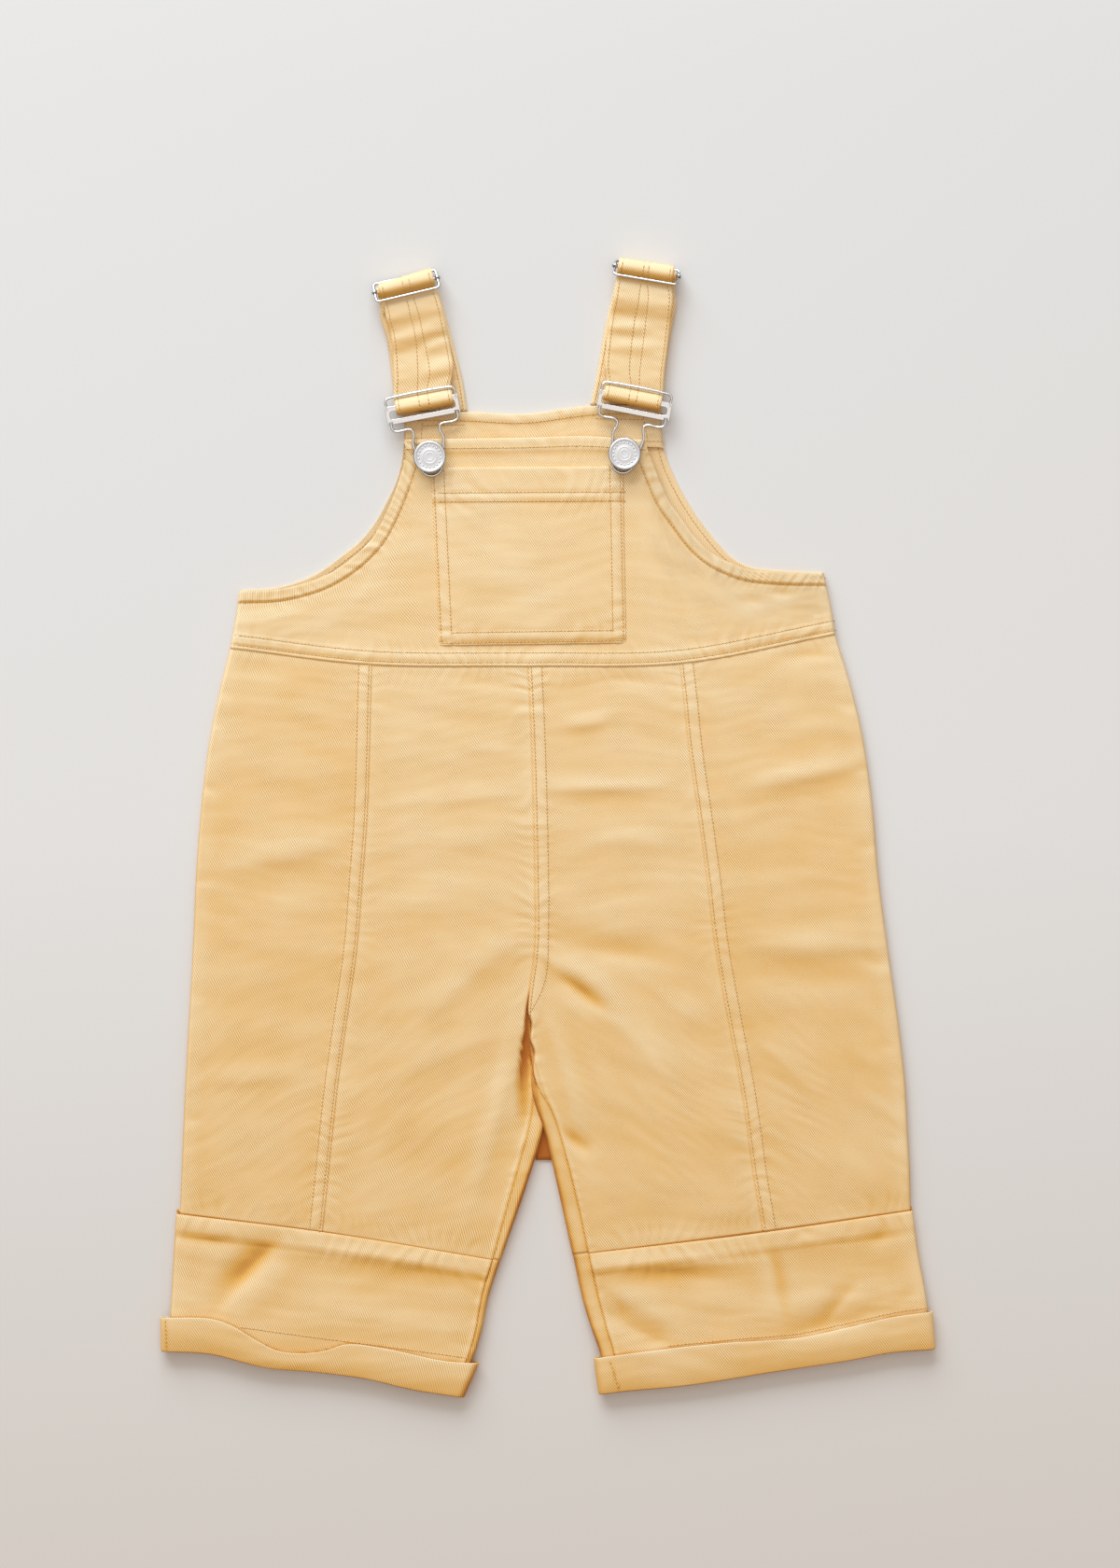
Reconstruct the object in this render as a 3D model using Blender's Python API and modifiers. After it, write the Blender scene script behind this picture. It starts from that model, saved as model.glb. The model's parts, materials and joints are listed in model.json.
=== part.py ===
"""Kids dungarees in cotton twill, laid flat on their back.

The garment lies on the XY plane: +X runs to the viewer's right, +Y towards the
straps and +Z up from the floor. The legs and hem bands are flattened tubes, so
each cross-section is a flat back, a flat front and a half-round fold at both
edges. Tables are in millimetres, with one row for each section.
"""
import math

import bmesh
import bpy
import numpy as np
from mathutils import Matrix, Vector

MM = 0.001

# ---- driving dimensions, in millimetres ----
CLOTH = 1.0            # wall of one layer of twill with its seam allowances
GAP = 0.3              # space between two pieces at a seam
FOLD_RADIUS = 2.2      # half the height of a leg as it lies
LEG_TOP = 2 * FOLD_RADIUS
SEAM_ANGLE = 14.0      # degrees from the fold's middle to a side seam's edge
STRAP = 1.6            # thickness of a strap, folded double
CUFF_WALL = 1.4
CROTCH_SLACK = 1.0     # extra space at the inseam where it starts under the crotch
CUFF_RADIUS = 3.55     # half the height of a turned-up cuff
CUFF_RISE = CUFF_WALL + GAP        # how far a cuff's back lifts the band
WIRE_RADIUS = 0.7
PLATE = 1.0            # thickness of a buckle's plate

CENTRE_X = 0.2         # middle of the finished outline
CENTRE_Y = 0.5

# How finely each piece is divided.
CURVE_STEPS = 24
LEG_STEPS = 11
SIDE_STEPS = 4
CENTRE_STEPS = 5
BACK_STEPS = 7
WRAP_STEPS = 6
BAND_STEPS = 4
BAND_COLUMNS_ACROSS = 8
CUFF_SAMPLES = 160
CUFF_STEPS = 3
CUFF_COLUMNS = 12
BIB_COLUMNS = (9, 6, 9)
BIB_STEPS = 6
FACING_STEPS = 8
POCKET_ROWS = 5
POCKET_COLUMNS = 7
FRONT_STRAP_STEPS = 22
RETURN_STEPS = 20
BACK_STRAP_STEPS = 12
BUTTON_STEPS = 20
STRAP_STRIDE = 9.0     # straight length that gets one section of a strap,
STRAP_BEND = 34.0      # and the bend in degrees that gets one more
INNER_STOPS = (3.4, 1.6, 0.6, 0.0)     # last sections before the inseam, distances from it

# Each leg from the yoke seam to the band seam. The third point is the centre
# seam down to the crotch and the inner edge of the leg below it; the inseam
# lies this far in from that edge, on top of the leg.
LEG_COLUMNS = ("outer_x", "outer_y", "princess_x", "princess_y", "inner_x", "inner_y", "inseam")
CROTCH_ROW = 6
CROTCH_TOP = -96.0     # the front is flat above this height over CROTCH_FADE
CROTCH_FADE = 14.0
LEFT_LEG = (
    (-163.1, 91.9, -90.4, 83.4, -9.9, 82.5, 0.0),
    (-168.5, 70.3, -91.0, 63.6, -8.9, 62.0, 0.0),
    (-173.9, 43.4, -91.6, 38.0, -7.9, 38.0, 0.0),
    (-178.0, 9.4, -92.8, 5.0, -7.0, 6.0, 0.0),
    (-180.6, -24.2, -95.1, -26.0, -6.4, -26.0, 0.0),
    (-182.0, -58.0, -97.8, -60.0, -6.4, -60.0, 0.0),
    (-184.2, -98.0, -103.2, -99.0, -10.4, -98.0, 0.0),
    (-186.0, -130.0, -107.6, -130.0, -6.9, -126.5, 0.8),
    (-186.7, -145.0, -109.4, -146.0, -4.4, -140.0, 3.4),
    (-187.3, -160.0, -111.0, -161.0, -2.3, -153.0, 7.4),
    (-188.1, -180.0, -113.5, -186.0, -10.3, -182.0, 7.2),
    (-188.9, -197.5, -115.7, -206.8, -24.1, -222.0, 4.2),
)
RIGHT_LEG = (
    (147.5, 99.0, 68.0, 84.0, -9.9, 82.5, 0.0),
    (155.0, 75.0, 70.0, 66.0, -8.9, 62.0, 0.0),
    (161.5, 48.0, 72.4, 42.0, -7.9, 38.0, 0.0),
    (166.5, 14.0, 77.0, 10.0, -7.0, 6.0, 0.0),
    (169.8, -24.0, 82.0, -27.0, -6.4, -26.0, 0.0),
    (174.3, -59.3, 85.9, -60.0, -6.4, -60.0, 0.0),
    (179.8, -98.0, 92.6, -98.0, -10.4, -98.0, 0.0),
    (183.3, -128.0, 98.2, -127.0, -6.9, -123.5, 1.0),
    (184.2, -141.5, 100.6, -141.0, -5.2, -136.0, 3.4),
    (184.8, -155.0, 102.6, -155.0, -3.0, -148.0, 6.4),
    (186.0, -176.0, 106.0, -180.0, 4.0, -180.0, 8.4),
    (186.4, -195.8, 110.5, -206.6, 12.6, -219.0, 8.3),
)

# Each hem band from its seam down into the cuff, with how far it has risen.
BAND_COLUMNS = ("outer_x", "outer_y", "middle_x", "middle_y", "inner_x", "inner_y", "inseam", "rise")
LEFT_BAND = (
    (-190.8, -198.3, -109.0, -208.6, -24.4, -222.6, 4.2, 0.0),
    (-192.2, -221.0, -110.0, -230.0, -30.4, -241.0, 3.4, 0.1),
    (-193.2, -242.0, -111.5, -249.0, -34.4, -260.0, 3.0, 0.8),
    (-193.8, -250.5, -113.0, -257.0, -37.8, -271.0, 2.8, 1.0),
    (-194.2, -265.5, -115.0, -275.5, -45.0, -288.0, 2.8, 1.0),
)
RIGHT_BAND = (
    (187.4, -196.6, 105.0, -208.6, 12.9, -219.6, 8.3, 0.0),
    (190.6, -220.0, 107.0, -229.0, 17.8, -242.0, 8.2, 0.1),
    (194.0, -239.0, 109.0, -248.0, 23.2, -259.5, 7.6, 0.8),
    (195.0, -247.5, 110.0, -256.0, 26.9, -270.0, 7.0, 1.0),
    (195.7, -263.5, 112.0, -276.0, 29.6, -286.0, 6.6, 1.0),
)

# The cuffs' upper and lower edges on the front, left to right. The left one
# has come unfolded a little and droops.
LEFT_CUFF_UPPER = (
    (-198.9, -251.4), (-173.2, -251.8), (-161.9, -255.4), (-149.2, -263.0), (-138.0, -268.4),
    (-126.0, -269.6), (-114.0, -268.2), (-103.1, -265.0), (-84.0, -267.0), (-53.7, -273.4), (-35.2, -274.8))
LEFT_CUFF_LOWER = (
    (-198.6, -268.2), (-173.2, -269.6), (-144.4, -276.8), (-117.3, -279.2), (-93.5, -282.2),
    (-69.5, -287.8), (-42.6, -292.0))
RIGHT_CUFF_UPPER = (
    (23.6, -272.2), (57.1, -267.8), (88.9, -264.4), (128.7, -261.6), (152.6, -256.6), (176.5, -251.1),
    (197.6, -248.2))
RIGHT_CUFF_LOWER = (
    (26.0, -290.4), (38.0, -288.8), (73.1, -285.4), (112.9, -279.2), (152.7, -273.2), (176.5, -268.8),
    (199.2, -267.0))

# The bib and its yoke. Armholes run from the side seam up to the bib's top,
# and the yoke's lower edge is the first row of both legs.
FRONT_ARMHOLE_LEFT = ((-158.3, 121.4), (-138.0, 122.4), (-118.5, 127.4), (-106.2, 133.9), (-96.4, 141.7),
                      (-89.1, 150.0), (-81.3, 164.9), (-76.1, 178.9), (-73.6, 188.0), (-73.3, 199.0))
FRONT_BIB_TOP = ((-73.3, 199.0), (-53.7, 199.4), (-12.9, 199.9), (20.0, 200.7), (49.5, 198.7))
FRONT_ARMHOLE_RIGHT = ((49.5, 198.7), (56.3, 180.7), (61.5, 168.7), (68.7, 158.3), (76.6, 147.8),
                       (83.9, 141.1), (91.2, 136.9), (101.6, 133.0), (116.7, 131.1), (141.7, 130.4))
BACK_ARMHOLE_LEFT = ((-158.1, 121.9), (-137.9, 123.4), (-118.5, 130.5), (-104.3, 140.7), (-94.9, 148.6),
                     (-88.1, 157.4), (-82.7, 167.3), (-77.3, 178.9), (-74.4, 192.0), (-73.4, 213.6))
BACK_BIB_TOP = ((-73.4, 213.6), (-41.7, 213.6), (-12.9, 212.4), (24.1, 216.8), (58.0, 217.0))
BACK_ARMHOLE_RIGHT = ((58.0, 217.0), (59.4, 196.0), (64.7, 180.7), (74.5, 163.0), (81.3, 153.6),
                      (88.1, 145.2), (95.3, 138.2), (103.6, 133.9), (116.7, 132.1), (141.7, 131.0))
LEFT_YOKE_SIDE = ((-158.3, 121.4), (-160.4, 107.0), (-163.1, 92.2))
RIGHT_YOKE_SIDE = ((141.7, 130.4), (145.2, 114.0), (147.5, 99.3))
YOKE_CORNERS = (0.32, 0.68)            # where the bib's top corners lead to along the yoke seam
FACING_DEPTH = 21.5
FACING_LEFT = ((-73.1, 203.0), (-73.8, 191.6))
FACING_RIGHT = ((58.2, 205.0), (59.6, 194.6))
FACING_INSET = (0.4, 0.2)

POCKET = {"top_left": (-60.0, 184.6), "top_right": (38.4, 185.2), "bottom_left": (-55.7, 93.2),
          "bottom_right": (40.2, 94.6)}

# Soft folds in the front: where the middle of each lies, its length, its
# direction (degrees from +X), its width and its depth.
FOLD_COLUMNS = ("x", "y", "length", "turn", "width", "depth")
FOLDS = (
    (-143.0, 112.0, 44.0, 13.0, 13.0, 0.7),
    (-36.0, -84.0, 60.0, 25.0, 16.0, 0.8),
    (26.0, -82.0, 44.0, -38.0, 15.0, 0.8),
    (70.0, -60.0, 60.0, -8.0, 22.0, 0.6),
    (-134.0, -22.0, 60.0, 14.0, 24.0, 0.6),
    (130.0, 24.0, 60.0, 9.0, 22.0, 0.6),
    (26.0, 14.0, 50.0, 4.0, 18.0, 0.6),
)

# Cross lines of the straps, left edge and right edge, with the height of the
# strap's middle. Rows run from the slider down to the buckle or the bib.
STRAP_COLUMNS = ("left_x", "left_y", "right_x", "right_y", "height")
FRONT_STRAP_LEFT = (
    (-83.6, 265.0, -55.8, 271.6, 6.5),
    (-82.6, 260.0, -54.0, 265.6, 6.5),
    (-80.5, 252.0, -52.2, 257.0, 5.1),
    (-79.3, 240.7, -49.8, 245.5, 4.7),
    (-78.9, 229.7, -48.4, 235.0, 4.7),
)
FRONT_STRAP_RIGHT = (
    (34.4, 276.6, 64.2, 271.8, 6.5),
    (33.6, 271.2, 63.9, 266.4, 6.5),
    (32.0, 263.0, 63.0, 258.2, 5.1),
    (30.1, 248.9, 61.3, 243.6, 4.7),
    (29.2, 237.0, 59.9, 232.0, 4.7),
)
RETURN_LEFT = (
    (-86.0, 263.0, -58.0, 269.6, 2.7),
    (-82.4, 251.0, -53.4, 256.4, 2.7),
    (-79.4, 238.0, -49.8, 243.0, 2.7),
    (-79.0, 228.5, -48.8, 233.6, 2.7),
)
RETURN_RIGHT = (
    (36.4, 274.6, 66.0, 270.0, 2.7),
    (33.2, 262.0, 63.8, 257.0, 2.7),
    (30.3, 247.0, 61.3, 242.0, 2.7),
    (29.4, 236.0, 60.1, 231.0, 2.7),
)
BACK_STRAP_LEFT = (
    (-85.6, 264.7, -55.0, 271.6, 0.8),
    (-83.4, 255.1, -51.2, 259.0, 0.8),
    (-81.5, 243.1, -47.4, 244.1, 0.8),
    (-79.8, 228.7, -43.8, 229.2, 0.8),
    (-78.0, 214.0, -41.4, 214.0, 0.8),
)
BACK_STRAP_RIGHT = (
    (33.2, 272.9, 65.6, 269.0, 0.8),
    (29.6, 257.6, 63.5, 255.6, 0.8),
    (27.0, 243.1, 61.5, 241.7, 0.8),
    (24.6, 229.7, 59.9, 228.8, 0.8),
    (21.9, 217.2, 58.8, 217.4, 0.8),
)

# The path of the straps in side view, (along, height) from a slider's middle
# and from the lower edge of a buckle.
OVER_SLIDER = ((3.8, 6.1), (2.7, 8.5), (0.5, 9.5), (-1.6, 9.2), (-3.4, 7.7), (-5.3, 6.5))
FOLD_TO_BACK = ((3.85, 5.4), (3.5, 4.1), (2.8, 3.0), (1.4, 1.9), (-0.8, 1.2), (-3.4, 0.85))
ROUND_SLIDER_BAR = ((-11.5, 4.6), (-6.0, 4.6), (-2.4, 5.5), (-1.3, 6.9), (0.0, 7.5), (1.4, 6.9), (1.9, 5.6),
                    (1.4, 4.3), (0.0, 3.6), (-2.6, 3.0), (-6.5, 2.7))
OVER_BUCKLE_BAR = ((14.2, 4.6), (12.3, 5.3), (10.7, 7.2), (8.4, 8.2), (6.0, 8.0), (5.0, 6.8), (5.0, 5.6),
                   (6.1, 4.8))
UNDER_BUCKLE_BAR = ((13.6, 2.7), (11.4, 3.1), (9.0, 4.0), (7.3, 4.6))
HALF_AT_SLIDER = 14.2
HALF_AT_BUCKLE = 14.9

# Slider and buckle frames: the middle, the turn in degrees, how far the front
# strap sits to the side, and the slider's reach to each cross wire.
SLIDERS = {"left": {"x": -72.7, "y": 278.1, "turn": 13.4, "shift": 0.4, "loose": -1.0, "reach": 5.3},
           "right": {"x": 50.8, "y": 285.3, "turn": -9.5, "shift": -0.6, "loose": 1.1, "reach": 4.7}}
BUCKLES = {"left": {"x": -63.3, "y": 209.5, "turn": 10.75, "shift": 1.5},
           "right": {"x": 43.5, "y": 211.8, "turn": -11.1, "shift": -1.5}}
SLIDER_HALF_WIDTH = 16.5
SLIDER_BAR_Z = 5.6
SLIDER_DROP = 3.2      # height from the slider's middle to either cross wire
PLATE_Z = 6.4
PLATE_HALF_WIDTH = 19.0
PLATE_HEIGHT = 9.4
PLATE_RAIL = 2.6       # height of the plate's lower rail and of its strap bar
PLATE_POST = 2.0
NOTCH_X = 17.2         # sockets for the hook's ends in the plate's lower edge
NOTCH_WIDTH = 2.0
NOTCH_DEPTH = 1.3
# Half of the bow over the strap: (across, along, height) from the plate up to the cross wire.
BOW = ((18.0, 7.1, 6.4), (18.0, 10.4, 6.5), (18.0, 11.9, 6.9), (17.2, 13.2, 6.9), (15.6, 13.7, 6.9))

# Half of a hook wire, seen from above: (across, along) from the middle of the
# plate's lower edge, from the plate down to the loop round the button.
HOOK_TOP = ((17.2, 1.0), (17.2, -1.4), (16.6, -3.0), (14.6, -3.9), (8.6, -3.9), (7.0, -5.0), (6.9, -7.4),
            (8.0, -11.0))
HOOK_LOOP_DROP = 4.2    # from the button's middle down to the loop's
HOOK_LOOP_RADIUS = 5.4
HOOK_Z = 6.6

BUTTONS = {"left": {"x": -60.4, "y": 189.8}, "right": {"x": 39.3, "y": 191.3}}
BUTTON_RADIUS = 8.3
BUTTON_PROFILE = ((0.0, 11.1), (3.0, 11.1), (3.4, 10.8), (6.6, 10.7), (7.2, 11.0), (8.0, 10.8), (8.3, 10.3),
                  (8.2, 9.4), (7.4, 8.8), (2.4, 8.6), (2.1, 7.0), (2.3, 5.2), (3.2, 5.0), (3.2, 4.7), (0.0, 4.7))


# ---- curves and sections ----

def smooth(points, steps=10):
    """Fine points of a centripetal Catmull-Rom curve through the given ones."""
    points = np.asarray(points, dtype=float)
    if len(points) < 3:
        return points
    padded = np.vstack([2 * points[0] - points[1], points, 2 * points[-1] - points[-2]])
    fine = [points[0]]
    for index in range(1, len(padded) - 2):
        around = padded[index - 1:index + 3]
        knots = np.concatenate([[0.0], np.cumsum(np.sqrt(np.linalg.norm(np.diff(around, axis=0), axis=1)))])
        for time in np.linspace(knots[1], knots[2], steps + 1)[1:]:
            level = [around[k] for k in range(4)]
            for order in (1, 2, 3):
                level = [blend(level[k], level[k + 1], time, *spans(knots, k, order)) for k in range(4 - order)]
            fine.append(level[0])
    return np.array(fine)


def spans(knots, start, order):
    """Knots between which one level of the Catmull-Rom pyramid is blended."""
    if order == 1:
        return knots[start], knots[start + 1]
    if order == 2:
        return knots[start], knots[start + 2]
    return knots[1], knots[2]


def blend(first, second, time, begin, end):
    """Straight blend from first to second as time runs from begin to end."""
    share = (time - begin) / (end - begin)
    return first * (1 - share) + second * share


def at_lengths(points, lengths):
    """Points of a polyline at the given distances from its start."""
    steps = np.linalg.norm(np.diff(points[:, :2], axis=0), axis=1)
    along = np.concatenate([[0.0], np.cumsum(steps)])
    return np.stack([np.interp(lengths, along, points[:, axis]) for axis in range(points.shape[1])], axis=1)


def length_of(points):
    return float(np.linalg.norm(np.diff(points[:, :2], axis=0), axis=1).sum())


def even(points, count):
    """A smooth curve through the points, cut into count equal steps."""
    fine = smooth(points)
    return at_lengths(fine, np.linspace(0.0, length_of(fine), count + 1))


def table_rows(table, count):
    """The rows of a section table, drawn out smoothly to count steps."""
    table = np.asarray(table, dtype=float)
    middle = len(table) - 1
    stations = np.linspace(0.0, middle, count + 1)
    fine = smooth(table, steps=20)
    return np.stack([np.interp(stations * 20, np.arange(len(fine)), fine[:, column])
                     for column in range(table.shape[1])], axis=1)


def fold_height(distance):
    """Height over the fold's middle at a distance in from a leg's edge."""
    inside = np.clip(FOLD_RADIUS - distance, 0.0, FOLD_RADIUS)
    return np.sqrt(FOLD_RADIUS ** 2 - inside ** 2)


def fold_stops(radius, first_angle):
    """Distances in from the edge of a fold's sections, from its seam to its top."""
    angles = np.radians((first_angle, 20.0, 42.0, 66.0, 90.0))
    return radius * (1 - np.cos(angles))


def crease(x, y):
    """Depth of the soft folds at a point of the front."""
    depth = 0.0
    for row in FOLDS:
        fold = dict(zip(FOLD_COLUMNS, row))
        turn = math.radians(fold["turn"])
        along = (x - fold["x"]) * math.cos(turn) + (y - fold["y"]) * math.sin(turn)
        across = (y - fold["y"]) * math.cos(turn) - (x - fold["x"]) * math.sin(turn)
        reach = (2 * along / fold["length"]) ** 2 + (2 * across / fold["width"]) ** 2
        depth += fold["depth"] * math.exp(-1.2 * reach)
    return depth


# ---- building blocks ----

def collection(name):
    made = bpy.data.collections.new(name)
    bpy.context.scene.collection.children.link(made)
    return made


def material(name, colour, roughness, metallic):
    made = bpy.data.materials.new(name)
    made.use_nodes = True
    shader = made.node_tree.nodes["Principled BSDF"]
    shader.inputs["Base Color"].default_value = (*colour, 1.0)
    shader.inputs["Roughness"].default_value = roughness
    shader.inputs["Metallic"].default_value = metallic
    return made


def add_object(name, data, surface):
    """Put the data in the garment's collection, on the shared origin."""
    data.materials.clear()
    data.materials.append(surface)
    made = bpy.data.objects.new(name, data)
    made.location = (-CENTRE_X * MM, -CENTRE_Y * MM, 0.0)
    GARMENT.objects.link(made)
    return made


def sheet(name, grid, surface, thickness, facing=None, offset=-1.0, ring=False, missing=()):
    """An open grid of outer points in mm, thickened away from its outer side.

    facing is the direction the outer side looks on the whole; ring closes each
    row on itself; missing lists (row, column) cells that are left out.
    """
    model = bmesh.new()
    vertices = [[model.verts.new(Vector(point) * MM) for point in row] for row in grid]
    columns = len(vertices[0])
    for row in range(len(vertices) - 1):
        for column in range(columns if ring else columns - 1):
            if (row, column) in missing:
                continue
            after = (column + 1) % columns
            model.faces.new((vertices[row][column], vertices[row + 1][column],
                             vertices[row + 1][after], vertices[row][after]))
    loose = [vertex for vertex in model.verts if not vertex.link_faces]
    bmesh.ops.delete(model, geom=loose, context="VERTS")
    model.normal_update()
    if facing is not None:
        total = sum((face.normal * face.calc_area() for face in model.faces), Vector())
        if total.dot(Vector(facing)) < 0:
            bmesh.ops.reverse_faces(model, faces=model.faces)
    mesh = bpy.data.meshes.new(name)
    model.to_mesh(mesh)
    model.free()
    made = add_object(name, mesh, surface)
    wall = made.modifiers.new("wall", "SOLIDIFY")
    wall.thickness = thickness * MM
    wall.offset = offset
    wall.use_even_offset = True
    return made


def patch(top, bottom, left, right):
    """Coons patch between four borders, as an array of rows of (x, y)."""
    rows, columns = len(left), len(top)
    down = np.linspace(0.0, 1.0, rows)[:, None, None]
    across = np.linspace(0.0, 1.0, columns)[None, :, None]
    between_ends = (1 - down) * top[None] + down * bottom[None]
    between_sides = (1 - across) * left[:, None] + across * right[:, None]
    corners = ((1 - down) * ((1 - across) * top[0] + across * top[-1])
               + down * ((1 - across) * bottom[0] + across * bottom[-1]))
    return between_ends + between_sides - corners


def turned(frame, across, along):
    """A point given in a slider's or buckle's own frame, in garment millimetres."""
    turn = math.radians(frame["turn"])
    return (frame["x"] + across * math.cos(turn) - along * math.sin(turn),
            frame["y"] + across * math.sin(turn) + along * math.cos(turn))


# ---- legs ----

def leg_row(row, names):
    """One cross-section: its fine curve, the length to its middle point and its values."""
    values = dict(zip(names, row))
    middle = "princess" if "princess_x" in values else "middle"
    points = [(values[key + "_x"], values[key + "_y"]) for key in ("outer", middle, "inner")]
    curve = smooth(points, steps=CURVE_STEPS)
    return curve, length_of(curve[:CURVE_STEPS + 1]), values


def front_leg(side, table):
    """The side and centre pieces of one leg's front."""
    side_grid, centre_grid = [], []
    for row in table_rows(table, LEG_STEPS):
        curve, princess, values = leg_row(row, LEG_COLUMNS)
        whole = length_of(curve)
        stops = np.concatenate([fold_stops(FOLD_RADIUS, SEAM_ANGLE),
                                np.linspace(0.0, 1.0, SIDE_STEPS + 1)[1:] * (princess - GAP / 2 - FOLD_RADIUS)
                                + FOLD_RADIUS])
        side_grid.append([(x, y, FOLD_RADIUS + fold_height(stop) - crease(x, y))
                          for (x, y), stop in zip(at_lengths(curve, stops), stops)])
        hollow = crotch_hollow(values["inner_y"])
        end = whole - max(values["inseam"] + GAP / 2, GAP / 2)
        stops = np.linspace(princess + GAP / 2, end - INNER_STOPS[0], CENTRE_STEPS)
        stops = np.concatenate([stops, end - np.array(INNER_STOPS[1:])])
        centre_grid.append([(x, y, FOLD_RADIUS + fold_height(whole - stop + hollow) - crease(x, y))
                            for (x, y), stop in zip(at_lengths(curve, stops), stops)])
    sheet("front_side_leg_" + side, inset_ends(side_grid), TWILL, CLOTH, facing=(0, 0, 1))
    sheet("front_centre_leg_" + side, inset_ends(centre_grid), TWILL, CLOTH, facing=(0, 0, 1))


def crotch_hollow(y):
    """How flat the front still is beside the centre seam above the crotch."""
    return FOLD_RADIUS * min(max((y - CROTCH_TOP) / CROTCH_FADE, 0.0), 1.0)


def inset_ends(grid):
    """Move the first and last rows in by half a seam gap."""
    grid = [[np.array(point, dtype=float) for point in row] for row in grid]
    for first, second in ((0, 1), (-1, -2)):
        for column, point in enumerate(grid[first]):
            step = grid[second][column] - point
            grid[first][column] = point + step / np.linalg.norm(step) * GAP / 2
    return grid


def back_row(row, names, rise, inner_fold, flat_steps):
    """One row of a back piece, from its side seam round to the inseam."""
    curve, _, values = leg_row(row, names)
    whole = length_of(curve)
    outer = fold_stops(FOLD_RADIUS, SEAM_ANGLE)
    places = [(stop, FOLD_RADIUS - fold_height(stop)) for stop in outer]
    end = whole - FOLD_RADIUS if inner_fold else whole - GAP / 2
    for stop in np.linspace(FOLD_RADIUS, end, flat_steps + 1)[1:]:
        places.append((stop, 0.0))
    if inner_fold:
        for stop, height in wrap_stops(values["inseam"]):
            places.append((whole - stop, height))
    spots = at_lengths(curve, [place[0] for place in places])
    return [(x, y, height + rise) for (x, y), (_, height) in zip(spots, places)]


def wrap_stops(inseam):
    """Points round the inner fold, from the floor up and in to the inseam."""
    if inseam < FOLD_RADIUS:
        turn = math.acos(1 - max(inseam, GAP / 2) / FOLD_RADIUS)
        reach = FOLD_RADIUS * (math.pi / 2 + turn)
    else:
        reach = math.pi * FOLD_RADIUS + inseam - FOLD_RADIUS
    reach -= GAP / 2 + CROTCH_SLACK * max(0.0, 1 - inseam / (2.5 * FOLD_RADIUS))
    stops = []
    for length in np.linspace(0.0, reach, WRAP_STEPS + 1)[1:]:
        if length < math.pi * FOLD_RADIUS:
            angle = length / FOLD_RADIUS - math.pi / 2
            stops.append((FOLD_RADIUS * (1 - math.cos(angle)), FOLD_RADIUS * (1 + math.sin(angle))))
        else:
            stops.append((FOLD_RADIUS + length - math.pi * FOLD_RADIUS, LEG_TOP))
    return stops


def back_leg(side, table):
    """One leg's back, which rolls up over its inner edge below the crotch."""
    grid = []
    rows = table_rows(table, LEG_STEPS)
    crotch = round(CROTCH_ROW * LEG_STEPS / (len(table) - 1))
    for index, row in enumerate(rows):
        folded = index >= crotch
        points = back_row(row, LEG_COLUMNS, 0.0, folded, BACK_STEPS)
        if not folded:
            points += [(points[-1][0], points[-1][1], 0.5 * step) for step in range(1, WRAP_STEPS + 1)]
        grid.append(points)
    flat = len(grid[0]) - WRAP_STEPS - 1
    missing = {(row, column) for row in range(crotch) for column in range(flat, flat + WRAP_STEPS)}
    grid = inset_ends(grid)
    sheet("back_leg_" + side, grid, TWILL, CLOTH, facing=(0, 0, -1), missing=missing)


def hem_band(side, table):
    """The front and back of one leg's hem band, which end inside the cuff."""
    front, back = [], []
    for row in table_rows(table, BAND_STEPS):
        curve, _, values = leg_row(row, BAND_COLUMNS)
        whole = length_of(curve)
        end = whole - values["inseam"] - GAP / 2
        stops = np.concatenate([fold_stops(FOLD_RADIUS, SEAM_ANGLE),
                                np.linspace(FOLD_RADIUS, end, BAND_COLUMNS_ACROSS + 1)[1:]])
        top = values["rise"] * (2 * CUFF_RADIUS - CUFF_WALL - GAP - LEG_TOP)
        bottom = values["rise"] * CUFF_RISE
        middle = FOLD_RADIUS + (top + bottom) / 2
        front.append([(x, y, middle + fold_height(stop) * (LEG_TOP + top - middle) / FOLD_RADIUS)
                      for (x, y), stop in zip(at_lengths(curve, stops), stops)])
        squash = (LEG_TOP + top - bottom) / LEG_TOP
        points = back_row(row, BAND_COLUMNS, 0.0, True, BAND_COLUMNS_ACROSS)
        back.append([(x, y, z * squash + bottom) for x, y, z in points])
    sheet("front_band_" + side, inset_ends(front), TWILL, CLOTH, facing=(0, 0, 1))
    sheet("back_band_" + side, inset_ends(back), TWILL, CLOTH, facing=(0, 0, -1))


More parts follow.
